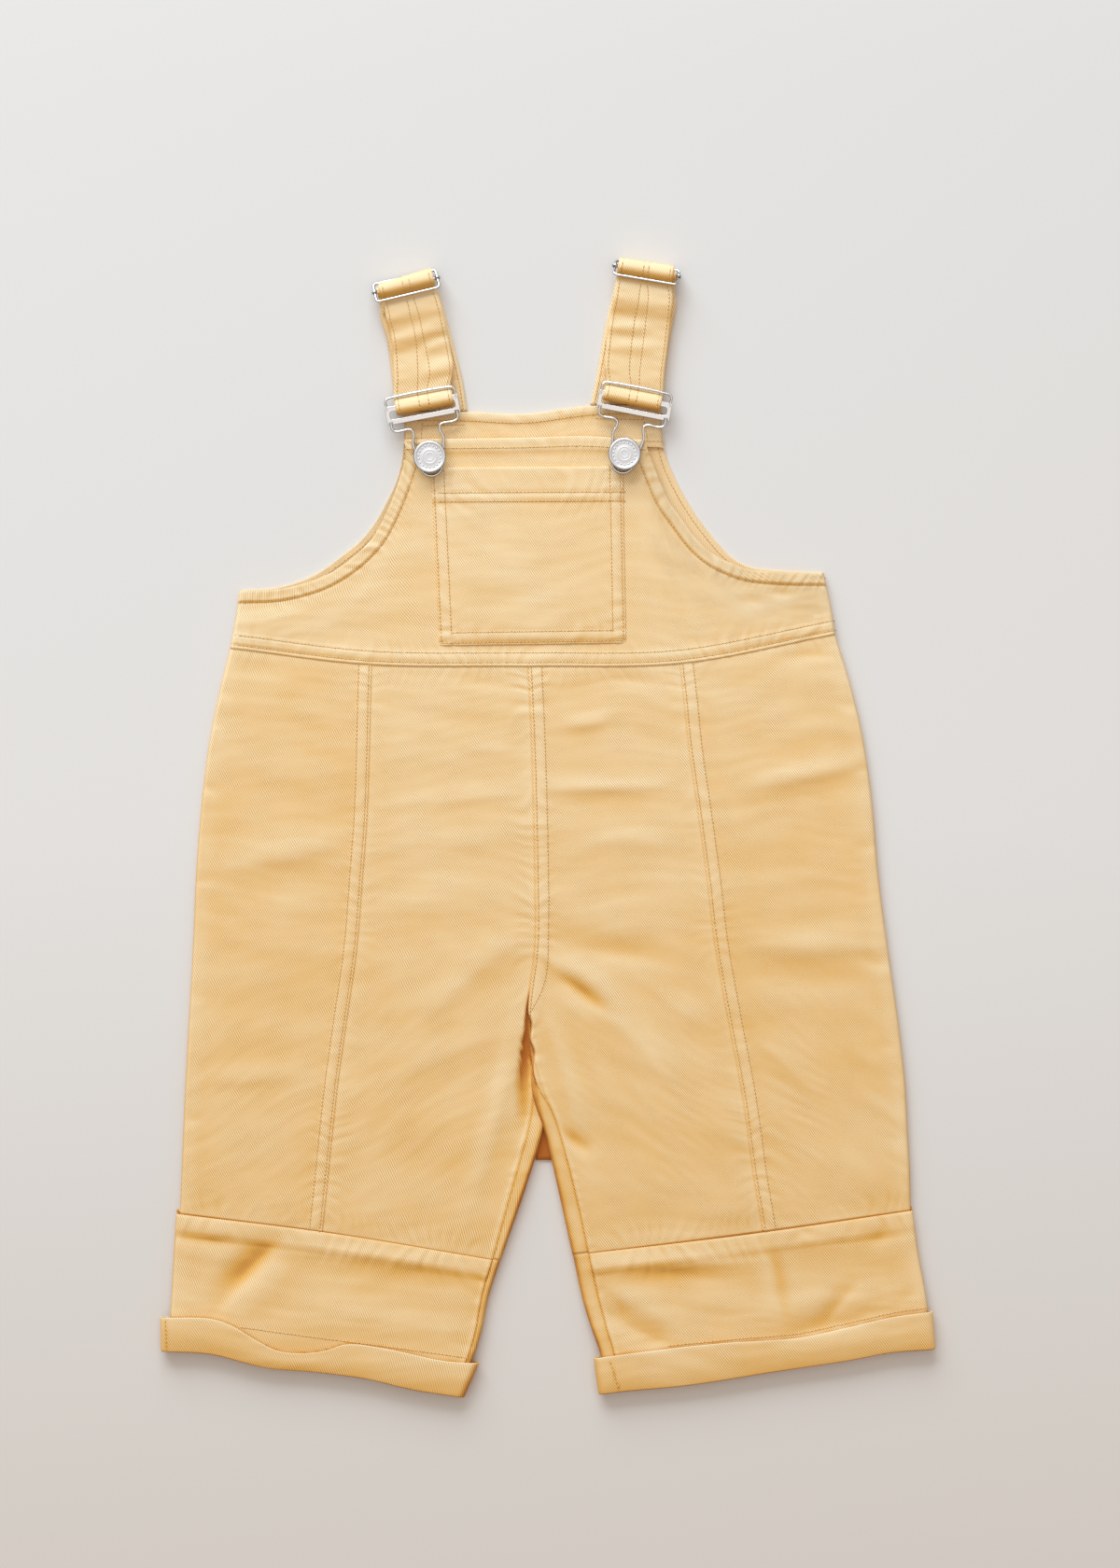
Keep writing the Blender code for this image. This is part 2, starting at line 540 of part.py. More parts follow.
def cuff(side, upper, lower):
    """A turned-up cuff: a flattened ring round the end of the hem band."""
    upper_curve, lower_curve = smooth(upper), smooth(lower)
    share = np.linspace(0.0, 1.0, CUFF_SAMPLES)
    upper_points = at_lengths(upper_curve, share * length_of(upper_curve))
    lower_points = at_lengths(lower_curve, share * length_of(lower_curve))
    plain_points = at_lengths(smooth((upper[0], upper[-1])), share * math.dist(upper[0], upper[-1]))
    grid = []
    for down in np.linspace(0.0, 1.0, CUFF_STEPS + 1):
        front = (1 - down) * upper_points + down * lower_points
        back = (1 - down) * plain_points + down * lower_points
        fold = CUFF_RADIUS * (1 - np.cos(np.radians((0.0, 40.0, 90.0))))
        across = np.linspace(CUFF_RADIUS, length_of(front) - CUFF_RADIUS, CUFF_COLUMNS + 1)[1:-1]
        stops = np.concatenate([fold, across, length_of(front) - fold[::-1]])
        heights = cuff_height(stops, length_of(front))
        row = [(x, y, CUFF_RADIUS + height) for (x, y), height in zip(at_lengths(front, stops), heights)]
        stops = stops[1:-1] * length_of(back) / length_of(front)
        heights = cuff_height(stops, length_of(back))
        under = [(x, y, CUFF_RADIUS - height) for (x, y), height in zip(at_lengths(back, stops), heights)]
        grid.append(row + under[::-1])
    made = sheet("cuff_" + side, grid, TWILL, CUFF_WALL, ring=True)
    turn_outward(made)
    return made


def cuff_height(stops, whole):
    """Height over the ring's middle, round at both ends."""
    nearest = np.minimum(stops, whole - stops)
    inside = np.clip(CUFF_RADIUS - nearest, 0.0, CUFF_RADIUS)
    return np.sqrt(CUFF_RADIUS ** 2 - inside ** 2)


def turn_outward(ring):
    """Flip a ring's faces if its upper wall looks down."""
    model = bmesh.new()
    model.from_mesh(ring.data)
    model.normal_update()
    upper = [face for face in model.faces if face.calc_center_median().z > CUFF_RADIUS * MM * 1.5]
    if sum(face.normal.z for face in upper) < 0:
        bmesh.ops.reverse_faces(model, faces=model.faces)
    model.to_mesh(ring.data)
    model.free()


# ---- bib ----

def yoke_seam():
    """The bib's lower edge, just above the top of both legs."""
    left, right = leg_row(LEFT_LEG[0], LEG_COLUMNS)[0], leg_row(RIGHT_LEG[0], LEG_COLUMNS)[0]
    return np.vstack([left, right[-2::-1]]) + (0.0, GAP / 2)


def bib(name, runs, sides, side_sign, folds, facing):
    """A bib and yoke in one, from its armholes and top edge to the yoke seam.

    Its outer columns follow the fold at each side seam; side_sign is +1 for the
    front, over that fold, and -1 for the back, under it.
    """
    curves = [smooth(run) for run in runs]
    fold = fold_stops(FOLD_RADIUS, SEAM_ANGLE) - fold_stops(FOLD_RADIUS, SEAM_ANGLE)[0]
    lengths = [length_of(curve) for curve in curves]
    first = np.concatenate([fold, np.linspace(fold[-1], lengths[0], BIB_COLUMNS[0] + 1)[1:]])
    last = lengths[2] - np.concatenate([fold, np.linspace(fold[-1], lengths[2], BIB_COLUMNS[2] + 1)[1:]])[::-1]
    middle = np.linspace(0.0, lengths[1], BIB_COLUMNS[1] + 1)[1:]
    top = np.vstack([at_lengths(curves[0], first), at_lengths(curves[1], middle), at_lengths(curves[2], last[1:])])
    yoke = yoke_seam()
    whole = length_of(yoke)
    counts = np.cumsum((0,) + BIB_COLUMNS)
    turns = (fold[-1], YOKE_CORNERS[0] * whole, YOKE_CORNERS[1] * whole, whole - fold[-1])
    stops = np.interp(np.arange(counts[-1] + 1), counts, turns)
    stops = np.concatenate([fold[:-1], stops, (whole - fold[:-1])[::-1]])
    bottom = at_lengths(yoke, stops)
    left, right = even(sides[0], BIB_STEPS), even(sides[1], BIB_STEPS)
    left[0], left[-1], right[0], right[-1] = top[0], bottom[0], top[-1], bottom[-1]
    start = fold_stops(FOLD_RADIUS, SEAM_ANGLE)[0]
    reach = np.minimum(stops, whole - stops) + start
    rise = side_sign * fold_height(reach)
    grid = [[(x, y, FOLD_RADIUS + height - (crease(x, y) if folds else 0.0)) for (x, y), height in zip(row, rise)]
            for row in patch(top, bottom, left, right)]
    return sheet(name, grid, TWILL, CLOTH, facing=facing)


def facing_strip():
    """The facing inside the back bib's top edge."""
    top = even(BACK_BIB_TOP, FACING_STEPS)
    top[:, 1] -= FACING_INSET[1]
    top[0, 0] += FACING_INSET[0]
    top[-1, 0] -= FACING_INSET[0]
    bottom = top - (0.0, FACING_DEPTH)
    bottom[0], bottom[-1] = FACING_LEFT[-1], FACING_RIGHT[-1]
    left = even((top[0], *FACING_LEFT), 2)
    right = even((top[-1], *FACING_RIGHT), 2)
    plan = patch(top, bottom, left, right)
    grid = [[(x, y, 2 * CLOTH + GAP) for x, y in row] for row in plan]
    sheet("back_facing", grid, TWILL, CLOTH, facing=(0, 0, 1))


def pocket():
    """A patch pocket on the front bib."""
    corner = {key: np.array(value) for key, value in POCKET.items()}
    grid = []
    for down in np.linspace(0.0, 1.0, POCKET_ROWS):
        left = corner["top_left"] * (1 - down) + corner["bottom_left"] * down
        right = corner["top_right"] * (1 - down) + corner["bottom_right"] * down
        spots = [left * (1 - across) + right * across for across in np.linspace(0.0, 1.0, POCKET_COLUMNS)]
        grid.append([(x, y, LEG_TOP + GAP + CLOTH) for x, y in spots])
    sheet("bib_pocket", grid, TWILL, CLOTH, facing=(0, 0, 1))


# ---- straps ----

def path_rows(frame, path, half, shift):
    """Rows of a strap's table from its side view at a slider or buckle."""
    rows = []
    for along, height in path:
        left = turned(frame, shift - half, along)
        right = turned(frame, shift + half, along)
        rows.append((*left, *right, height))
    return rows


def strap(name, rows, steps):
    """A strap, lofted through its cross lines."""
    ends = []
    for row in rows:
        line = dict(zip(STRAP_COLUMNS, row))
        ends.append((line["left_x"], line["left_y"], line["height"],
                     line["right_x"], line["right_y"], line["height"]))
    fine = smooth(ends, steps=8)
    middle = (fine[:, :3] + fine[:, 3:]) / 2
    along = np.concatenate([[0.0], np.cumsum(np.linalg.norm(np.diff(middle, axis=0), axis=1))])
    turn = np.concatenate([[0.0], np.cumsum(bend_angles(middle))])
    measure = along / STRAP_STRIDE + turn / math.radians(STRAP_BEND)
    wanted = np.linspace(0.0, measure[-1], steps + 1)
    points = np.stack([np.interp(wanted, measure, fine[:, column]) for column in range(6)], axis=1)
    points[:, (2, 5)] = np.maximum(points[:, (2, 5)], STRAP / 2)
    grid = [[point[:3] * (1 - share) + point[3:] * share for share in (0.0, 0.5, 1.0)] for point in points]
    return sheet(name, grid, TWILL, STRAP, offset=0.0)


def bend_angles(points):
    """How much a path turns at each step, so that tight bends get more sections."""
    steps = np.diff(points, axis=0)
    steps /= np.linalg.norm(steps, axis=1)[:, None]
    turns = np.arccos(np.clip((steps[1:] * steps[:-1]).sum(axis=1), -1.0, 1.0))
    return np.concatenate([turns, [0.0]])


def straps(side, front, inner, back):
    """The three layers of one strap."""
    slider, buckle = SLIDERS[side], BUCKLES[side]
    rows = path_rows(slider, OVER_SLIDER, HALF_AT_SLIDER, slider["shift"])
    rows += list(front)
    rows += path_rows(buckle, OVER_BUCKLE_BAR, HALF_AT_BUCKLE, buckle["shift"])
    strap("front_strap_" + side, rows, FRONT_STRAP_STEPS)
    rows = path_rows(slider, ROUND_SLIDER_BAR, HALF_AT_SLIDER, slider["loose"])
    rows += list(inner)
    rows += path_rows(buckle, UNDER_BUCKLE_BAR, HALF_AT_BUCKLE, buckle["shift"])
    strap("strap_return_" + side, rows, RETURN_STEPS)
    rows = path_rows(slider, FOLD_TO_BACK, HALF_AT_SLIDER, slider["shift"])
    rows += list(back)
    strap("back_strap_" + side, rows, BACK_STRAP_STEPS)


# ---- metal ----

def round_loop(corners, radius, steps=3):
    """Closed outline with rounded corners through the given 3D corner points."""
    corners = [Vector(corner) for corner in corners]
    points = []
    for index, corner in enumerate(corners):
        before = (corners[index - 1] - corner).normalized()
        after = (corners[(index + 1) % len(corners)] - corner).normalized()
        start, end = corner + before * radius, corner + after * radius
        for step in range(steps + 1):
            share = step / steps
            points.append(start * (1 - share) ** 2 + corner * 2 * share * (1 - share) + end * share ** 2)
    return points


def wire(name, points, closed):
    """A wire of round section through points in mm, made a mesh."""
    curve = bpy.data.curves.new(name, "CURVE")
    curve.dimensions = "3D"
    curve.bevel_depth = WIRE_RADIUS * MM
    curve.bevel_resolution = 2
    curve.use_fill_caps = True
    spline = curve.splines.new("POLY")
    spline.points.add(len(points) - 1)
    for target, point in zip(spline.points, points):
        target.co = (*(Vector(point) * MM), 1.0)
    spline.use_cyclic_u = closed
    return meshed(name, curve)


def meshed(name, curve):
    """The evaluated mesh of a curve, with its caps welded on."""
    holder = bpy.data.objects.new(name + "_curve", curve)
    bpy.context.scene.collection.objects.link(holder)
    evaluated = holder.evaluated_get(bpy.context.evaluated_depsgraph_get())
    mesh = bpy.data.meshes.new_from_object(evaluated)
    bpy.data.objects.remove(holder)
    model = bmesh.new()
    model.from_mesh(mesh)
    bmesh.ops.remove_doubles(model, verts=model.verts, dist=0.00001)
    model.to_mesh(mesh)
    model.free()
    return mesh


def cutter(name, mesh):
    """A helper solid for a union, kept out of the garment's collection."""
    made = bpy.data.objects.new(name, mesh)
    made.display_type = "WIRE"
    made.hide_render = True
    HELPERS.objects.link(made)
    return made


def combine(body, helper, operation):
    """Join a helper solid to the body, or cut the body with it."""
    joint = body.modifiers.new(helper.name, "BOOLEAN")
    joint.operation = operation
    joint.solver = "EXACT"
    joint.object = helper


def place(item, frame, height=0.0):
    """Put an object modelled in a slider's or buckle's own frame."""
    spot = Vector((frame["x"] - CENTRE_X, frame["y"] - CENTRE_Y, height)) * MM
    item.matrix_world = Matrix.Translation(spot) @ Matrix.Rotation(math.radians(frame["turn"]), 4, "Z")


def slider(side):
    """A wire frame with the bar that carries the strap."""
    frame = SLIDERS[side]
    low = (SLIDER_BAR_Z + SLIDER_DROP, SLIDER_BAR_Z - SLIDER_DROP)
    corners = [(-SLIDER_HALF_WIDTH, -frame["reach"], low[0]), (SLIDER_HALF_WIDTH, -frame["reach"], low[0]),
               (SLIDER_HALF_WIDTH, frame["reach"], low[1]), (-SLIDER_HALF_WIDTH, frame["reach"], low[1])]
    body = add_object("slider_" + side, wire("slider_frame", round_loop(corners, 2.0), True), NICKEL)
    ends = [(-SLIDER_HALF_WIDTH - 0.9, 0.0, SLIDER_BAR_Z), (SLIDER_HALF_WIDTH + 0.9, 0.0, SLIDER_BAR_Z)]
    bar = cutter("slider_bar_" + side, wire("slider_bar", ends, False))
    place(body, frame)
    place(bar, frame)
    combine(body, bar, "UNION")


def plate_mesh(name):
    """The buckle's flat plate: an outline with one window, extruded."""
    curve = bpy.data.curves.new(name, "CURVE")
    curve.dimensions = "2D"
    curve.fill_mode = "BOTH"
    curve.extrude = PLATE / 2 * MM
    inner = PLATE_HALF_WIDTH - PLATE_POST
    for half, low, high, radius in ((PLATE_HALF_WIDTH, 0.0, PLATE_HEIGHT, 0.6),
                                    (inner, PLATE_RAIL, PLATE_HEIGHT - PLATE_RAIL, 1.6)):
        corners = [(-half, low, 0.0), (half, low, 0.0), (half, high, 0.0), (-half, high, 0.0)]
        points = round_loop(corners, radius)
        spline = curve.splines.new("POLY")
        spline.points.add(len(points) - 1)
        for target, point in zip(spline.points, points):
            target.co = (point.x * MM, point.y * MM, 0.0, 1.0)
        spline.use_cyclic_u = True
    return meshed(name, curve)


def buckle(side):
    """A plate with its strap bar, two sockets for the hook and the wire bow above."""
    frame = BUCKLES[side]
    body = add_object("buckle_" + side, plate_mesh("buckle_plate"), NICKEL)
    place(body, frame, PLATE_Z)
    bow = [(-across, along, height) for across, along, height in BOW] + list(reversed(BOW))
    bow_part = cutter("buckle_bow_" + side, wire("buckle_bow", bow, False))
    place(bow_part, frame)
    combine(body, bow_part, "UNION")
    for sign in (-1, 1):
        mesh = bpy.data.meshes.new("hook_notch")
        model = bmesh.new()
        bmesh.ops.create_cube(model, size=1.0)
        size = Vector((NOTCH_WIDTH, 2 * NOTCH_DEPTH, 3 * PLATE)) * MM
        bmesh.ops.scale(model, verts=model.verts, vec=size)
        bmesh.ops.translate(model, verts=model.verts, vec=(sign * NOTCH_X * MM, 0.0, 0.0))
        model.to_mesh(mesh)
        model.free()
        notch = cutter("hook_notch_" + side + ("_left" if sign < 0 else "_right"), mesh)
        place(notch, frame, PLATE_Z)
        combine(body, notch, "DIFFERENCE")


def hook(side):
    """The wire hook that hangs from the plate and slips over the button."""
    frame, spot = BUCKLES[side], BUTTONS[side]
    turn = math.radians(frame["turn"])
    east, north = spot["x"] - frame["x"], spot["y"] - frame["y"]
    middle_x = east * math.cos(turn) + north * math.sin(turn)
    middle_y = north * math.cos(turn) - east * math.sin(turn) - HOOK_LOOP_DROP
    right = [(across, along, HOOK_Z - 0.2) for across, along in HOOK_TOP]
    left = [(-across, along, height) for across, along, height in reversed(right)]
    loop = []
    for angle in range(-10, 191, 20):
        spread = math.radians(angle)
        loop.append((middle_x + HOOK_LOOP_RADIUS * math.cos(spread),
                     middle_y - HOOK_LOOP_RADIUS * math.sin(spread), HOOK_Z))
    fine = smooth(right + loop + left, steps=2)
    made = add_object("hook_" + side, wire("hook_wire", [tuple(point) for point in fine], False), NICKEL)
    place(made, frame)


def button(side):
    """A jeans button: a turned cap on a short shank."""
    mesh = bpy.data.meshes.new("button_profile")
    model = bmesh.new()
    points = [model.verts.new((radius * MM, 0.0, height * MM)) for radius, height in BUTTON_PROFILE]
    for first, second in zip(points, points[1:]):
        model.edges.new((first, second))
    model.to_mesh(mesh)
    model.free()
    made = add_object("button_" + side, mesh, CAP)
    spin = made.modifiers.new("turn", "SCREW")
    spin.steps = spin.render_steps = BUTTON_STEPS
    spin.use_merge_vertices = True
    spin.merge_threshold = 0.00001
    spot = BUTTONS[side]
    made.location = ((spot["x"] - CENTRE_X) * MM, (spot["y"] - CENTRE_Y) * MM, 0.0)


# ---- the garment ----

for leftover in list(bpy.data.objects):
    bpy.data.objects.remove(leftover)

GARMENT = collection("kids_dungarees")
HELPERS = collection("helpers")
TWILL = material("yellow_twill", (0.83, 0.55, 0.22), 0.9, 0.0)
NICKEL = material("bright_nickel", (0.72, 0.70, 0.67), 0.25, 1.0)
CAP = material("satin_nickel", (0.78, 0.77, 0.76), 0.45, 1.0)

for hand, leg_table, band_table in (("left", LEFT_LEG, LEFT_BAND), ("right", RIGHT_LEG, RIGHT_BAND)):
    front_leg(hand, leg_table)
    back_leg(hand, leg_table)
    hem_band(hand, band_table)
    slider(hand)
    buckle(hand)
    hook(hand)
    button(hand)
cuff("left", LEFT_CUFF_UPPER, LEFT_CUFF_LOWER)
cuff("right", RIGHT_CUFF_UPPER, RIGHT_CUFF_LOWER)
bib("front_bib", (FRONT_ARMHOLE_LEFT, FRONT_BIB_TOP, FRONT_ARMHOLE_RIGHT),
    (LEFT_YOKE_SIDE, RIGHT_YOKE_SIDE), 1, True, (0, 0, 1))
bib("back_bib", (BACK_ARMHOLE_LEFT, BACK_BIB_TOP, BACK_ARMHOLE_RIGHT),
    (LEFT_YOKE_SIDE, RIGHT_YOKE_SIDE), -1, False, (0, 0, -1))
facing_strip()
pocket()
straps("left", FRONT_STRAP_LEFT, RETURN_LEFT, BACK_STRAP_LEFT)
straps("right", FRONT_STRAP_RIGHT, RETURN_RIGHT, BACK_STRAP_RIGHT)
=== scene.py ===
"""Yellow cotton twill dungarees for a small child, laid flat on a pale floor.

Tables are in millimetres in the garment's own frame: +X to the viewer's right,
+Y towards the straps and +Z up from the floor. Each cloth panel is a fine grid
of points on its solid's form, with its creases and seams pressed into it.
"""
import json
import math

import bmesh
import bpy
import numpy as np
from mathutils import Matrix, Vector

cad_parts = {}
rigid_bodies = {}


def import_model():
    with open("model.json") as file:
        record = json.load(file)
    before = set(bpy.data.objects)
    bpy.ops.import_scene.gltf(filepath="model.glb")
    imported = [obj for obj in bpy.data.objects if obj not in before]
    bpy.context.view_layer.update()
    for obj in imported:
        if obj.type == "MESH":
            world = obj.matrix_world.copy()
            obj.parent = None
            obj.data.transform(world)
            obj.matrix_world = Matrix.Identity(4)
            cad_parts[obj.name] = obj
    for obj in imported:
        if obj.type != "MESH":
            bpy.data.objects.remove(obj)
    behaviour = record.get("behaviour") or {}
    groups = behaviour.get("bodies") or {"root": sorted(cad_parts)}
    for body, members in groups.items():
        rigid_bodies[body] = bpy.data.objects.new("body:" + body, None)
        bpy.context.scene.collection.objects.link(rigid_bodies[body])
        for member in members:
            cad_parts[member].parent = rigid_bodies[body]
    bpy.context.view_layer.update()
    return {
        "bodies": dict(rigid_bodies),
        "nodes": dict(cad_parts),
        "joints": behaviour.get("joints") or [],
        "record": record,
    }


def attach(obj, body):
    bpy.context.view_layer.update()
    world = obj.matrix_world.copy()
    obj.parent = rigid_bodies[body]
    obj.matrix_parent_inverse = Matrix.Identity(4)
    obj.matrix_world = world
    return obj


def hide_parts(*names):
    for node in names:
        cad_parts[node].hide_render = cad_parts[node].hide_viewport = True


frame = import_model()
MM = 0.001
CENTRE = (0.2, 0.5)        # middle of the garment's outline, which is the frame's origin


def added(name, data):
    """A new object in the scene."""
    made = bpy.data.objects.new(name, data)
    bpy.context.scene.collection.objects.link(made)
    return made


def baked(holder):
    """The mesh that an object comes to with its modifiers; the object is taken away."""
    mesh = bpy.data.meshes.new_from_object(holder.evaluated_get(bpy.context.evaluated_depsgraph_get()))
    bpy.data.objects.remove(holder)
    return mesh


# ---------------------------------------------------------------------------
# Camera. A long lens straight above the garment, upright like a catalogue
# page: the view is 576 mm wide and 806.4 mm high at the floor.
# ---------------------------------------------------------------------------
VIEW_HEIGHT = 806.4
VIEW_MIDDLE = (6.3, 22.3)
CAMERA_HEIGHT = 2000.0

lens = bpy.data.cameras.new("overhead")
lens.sensor_width = 36.0
lens.lens = lens.sensor_width * CAMERA_HEIGHT / VIEW_HEIGHT
lens.clip_end = 50.0
camera = added("overhead", lens)
camera.location = Vector((VIEW_MIDDLE[0] - CENTRE[0], VIEW_MIDDLE[1] - CENTRE[1], CAMERA_HEIGHT)) * MM
bpy.context.scene.camera = camera


# ---------------------------------------------------------------------------
# Cotton twill. A 3/1 twill of about 280 g per square metre, woven from dyed
# yarn and washed soft: matte, with steep diagonal wales and a slight nap.
# ---------------------------------------------------------------------------
WALE = 1.03                # from one wale to the next
WALE_SLOPE = 58.0          # degrees that the wales fall to the right
STREAK = (0.7, 1.8)        # width and length of the yarn's thick and thin places along a wale
WAVER = 2.6                # how far the wales waver, in radians of their spacing
WAVER_SCALE = 160.0        # noise scales, per metre
PATCH_SCALE = 70.0
CLOUD_SCALE = 22.0
TWILL_LIGHT = "FBE6C0"
TWILL_DEEP = "E9B057"
TWILL_SHADE = "BA6C28"     # painted shade, deep in a fold


def linear(hex_colour):
    """A shader colour from an sRGB hex value."""
    values = [int(hex_colour[place:place + 2], 16) / 255 for place in (0, 2, 4)]
    return (*[v / 12.92 if v <= 0.04045 else ((v + 0.055) / 1.055) ** 2.4 for v in values], 1.0)


def node(tree, kind, settings=None, links=None, **values):
    """Add a node with its settings, input values by name and links as (output, input name)."""
    made = tree.nodes.new(kind)
    for key, value in (settings or {}).items():
        setattr(made, key, value)
    for key, value in values.items():
        made.inputs[int(key[1:]) if key[1:].isdigit() else key.replace("_", " ")].default_value = value
    for output, target in (links or []):
        tree.links.new(output, made.inputs[target])
    return made


def maths(tree, operation, first, second=None, third=None, **values):
    """The output of a Math node on up to three outputs; a plain number is given as _1."""
    given = enumerate((first, second, third))
    links = [(output, place) for place, output in given if output is not None]
    return node(tree, "ShaderNodeMath", {"operation": operation}, links, **values).outputs[0]


def ranged(tree, value, **limits):
    """The output of a Map Range node."""
    return node(tree, "ShaderNodeMapRange", links=[(value, "Value")], **limits).outputs[0]


def noise(tree, place, scale, detail, dimensions="3D"):
    """The value of a Noise texture."""
    return node(tree, "ShaderNodeTexNoise", {"noise_dimensions": dimensions}, [(place, "Vector")],
                Scale=scale, Detail=detail).outputs["Fac"]


def new_material(name, **values):
    """A material with its node tree and its shader, whose inputs are set by name."""
    made = bpy.data.materials.new(name)
    made.use_nodes = True
    shader = made.node_tree.nodes["Principled BSDF"]
    for key, value in values.items():
        shader.inputs[key.replace("_", " ")].default_value = value
    return made, made.node_tree, shader


def twill(name, light, deep, shade):
    """Twill woven along the panel's own UV map, which is in metres, with painted light and shade from the
    panel's attribute.
    """
    made, tree, shader = new_material(name, Roughness=0.9, Sheen_Weight=0.2, Sheen_Tint=linear(light),
                                      Sheen_Roughness=0.5, Specular_IOR_Level=0.25)
    place = node(tree, "ShaderNodeTexCoord").outputs["UV"]
    # Across the wales in X and along them in Y.
    turned = node(tree, "ShaderNodeMapping", links=[(place, "Vector")],
                  Rotation=(0.0, 0.0, math.radians(WALE_SLOPE - 90.0))).outputs["Vector"]
    waver = noise(tree, turned, WAVER_SCALE, 2.0, "2D")
    drift = maths(tree, "MULTIPLY", waver, _1=WAVER)
    parts = node(tree, "ShaderNodeSeparateXYZ", links=[(turned, "Vector")]).outputs
    across = maths(tree, "MULTIPLY_ADD", parts["X"], third=drift, _1=2 * math.pi / (WALE * MM))
    wale = maths(tree, "SINE", across)
    # Soft patches where the nap hides the wales.
    patches = noise(tree, place, PATCH_SCALE, 3.0, "2D")
    clear = ranged(tree, patches, From_Min=0.35, From_Max=0.65, To_Min=0.35)
    shown = maths(tree, "MULTIPLY", wale, clear)
    drawn = node(tree, "ShaderNodeMapping", links=[(turned, "Vector")],
                 Scale=(1 / (STREAK[0] * MM), 1 / (STREAK[1] * MM), 1.0)).outputs["Vector"]
    streak = maths(tree, "MULTIPLY", noise(tree, drawn, 1.0, 2.0, "2D"), _1=0.3)
    weave = maths(tree, "MULTIPLY_ADD", shown, third=streak, _1=0.5)
    # Dye: clouds some centimetres across. The panel's attribute adds painted light and shade: deeper in
    # hollows, on steep folds and beside overlapping edges, paler on ridges and on slopes that face the
    # straps.
    cloud = ranged(tree, noise(tree, place, CLOUD_SCALE, 5.0, "2D"), To_Min=0.28, To_Max=0.72)
    dye = maths(tree, "MULTIPLY_ADD", weave, third=cloud, _1=0.35)
    crest = node(tree, "ShaderNodeAttribute", {"attribute_name": "crest"}).outputs["Fac"]
    tone = maths(tree, "ADD", dye, crest)
    # Painted light: the cloth is painted a little deeper towards the legs' ends and paler towards the
    # straps, which lie nearer the window.
    height = node(tree, "ShaderNodeSeparateXYZ", links=[(place, "Vector")]).outputs["Y"]
    paler = ranged(tree, height, From_Min=-0.25, From_Max=0.19, To_Min=-0.17, To_Max=0.2)
    lit_tone = maths(tree, "ADD", tone, paler)
    share = ranged(tree, lit_tone, From_Min=-0.65, From_Max=1.31)
    colour = node(tree, "ShaderNodeValToRGB", links=[(share, "Fac")])
    ramp = colour.color_ramp.elements
    ramp[0].color, ramp[1].color = linear(shade), linear(light)
    ramp.new(0.3).color = linear(deep)
    # Painted shade and highlight: the colour is painted darker between the wales, where the yarns shade each
    # other, and lighter on them.
    shine = ranged(tree, shown, From_Min=-1.0, To_Min=0.8, To_Max=1.2)
    lit = node(tree, "ShaderNodeHueSaturation", links=[(colour.outputs["Color"], "Color"), (shine, "Value")])
    tree.links.new(lit.outputs["Color"], shader.inputs["Base Color"])
    relief = node(tree, "ShaderNodeBump", links=[(weave, "Height")], Strength=0.5, Distance=0.25 * MM)
    tree.links.new(relief.outputs["Normal"], shader.inputs["Normal"])
    return made


TWILL = twill("washed_cotton_twill", TWILL_LIGHT, TWILL_DEEP, TWILL_SHADE)


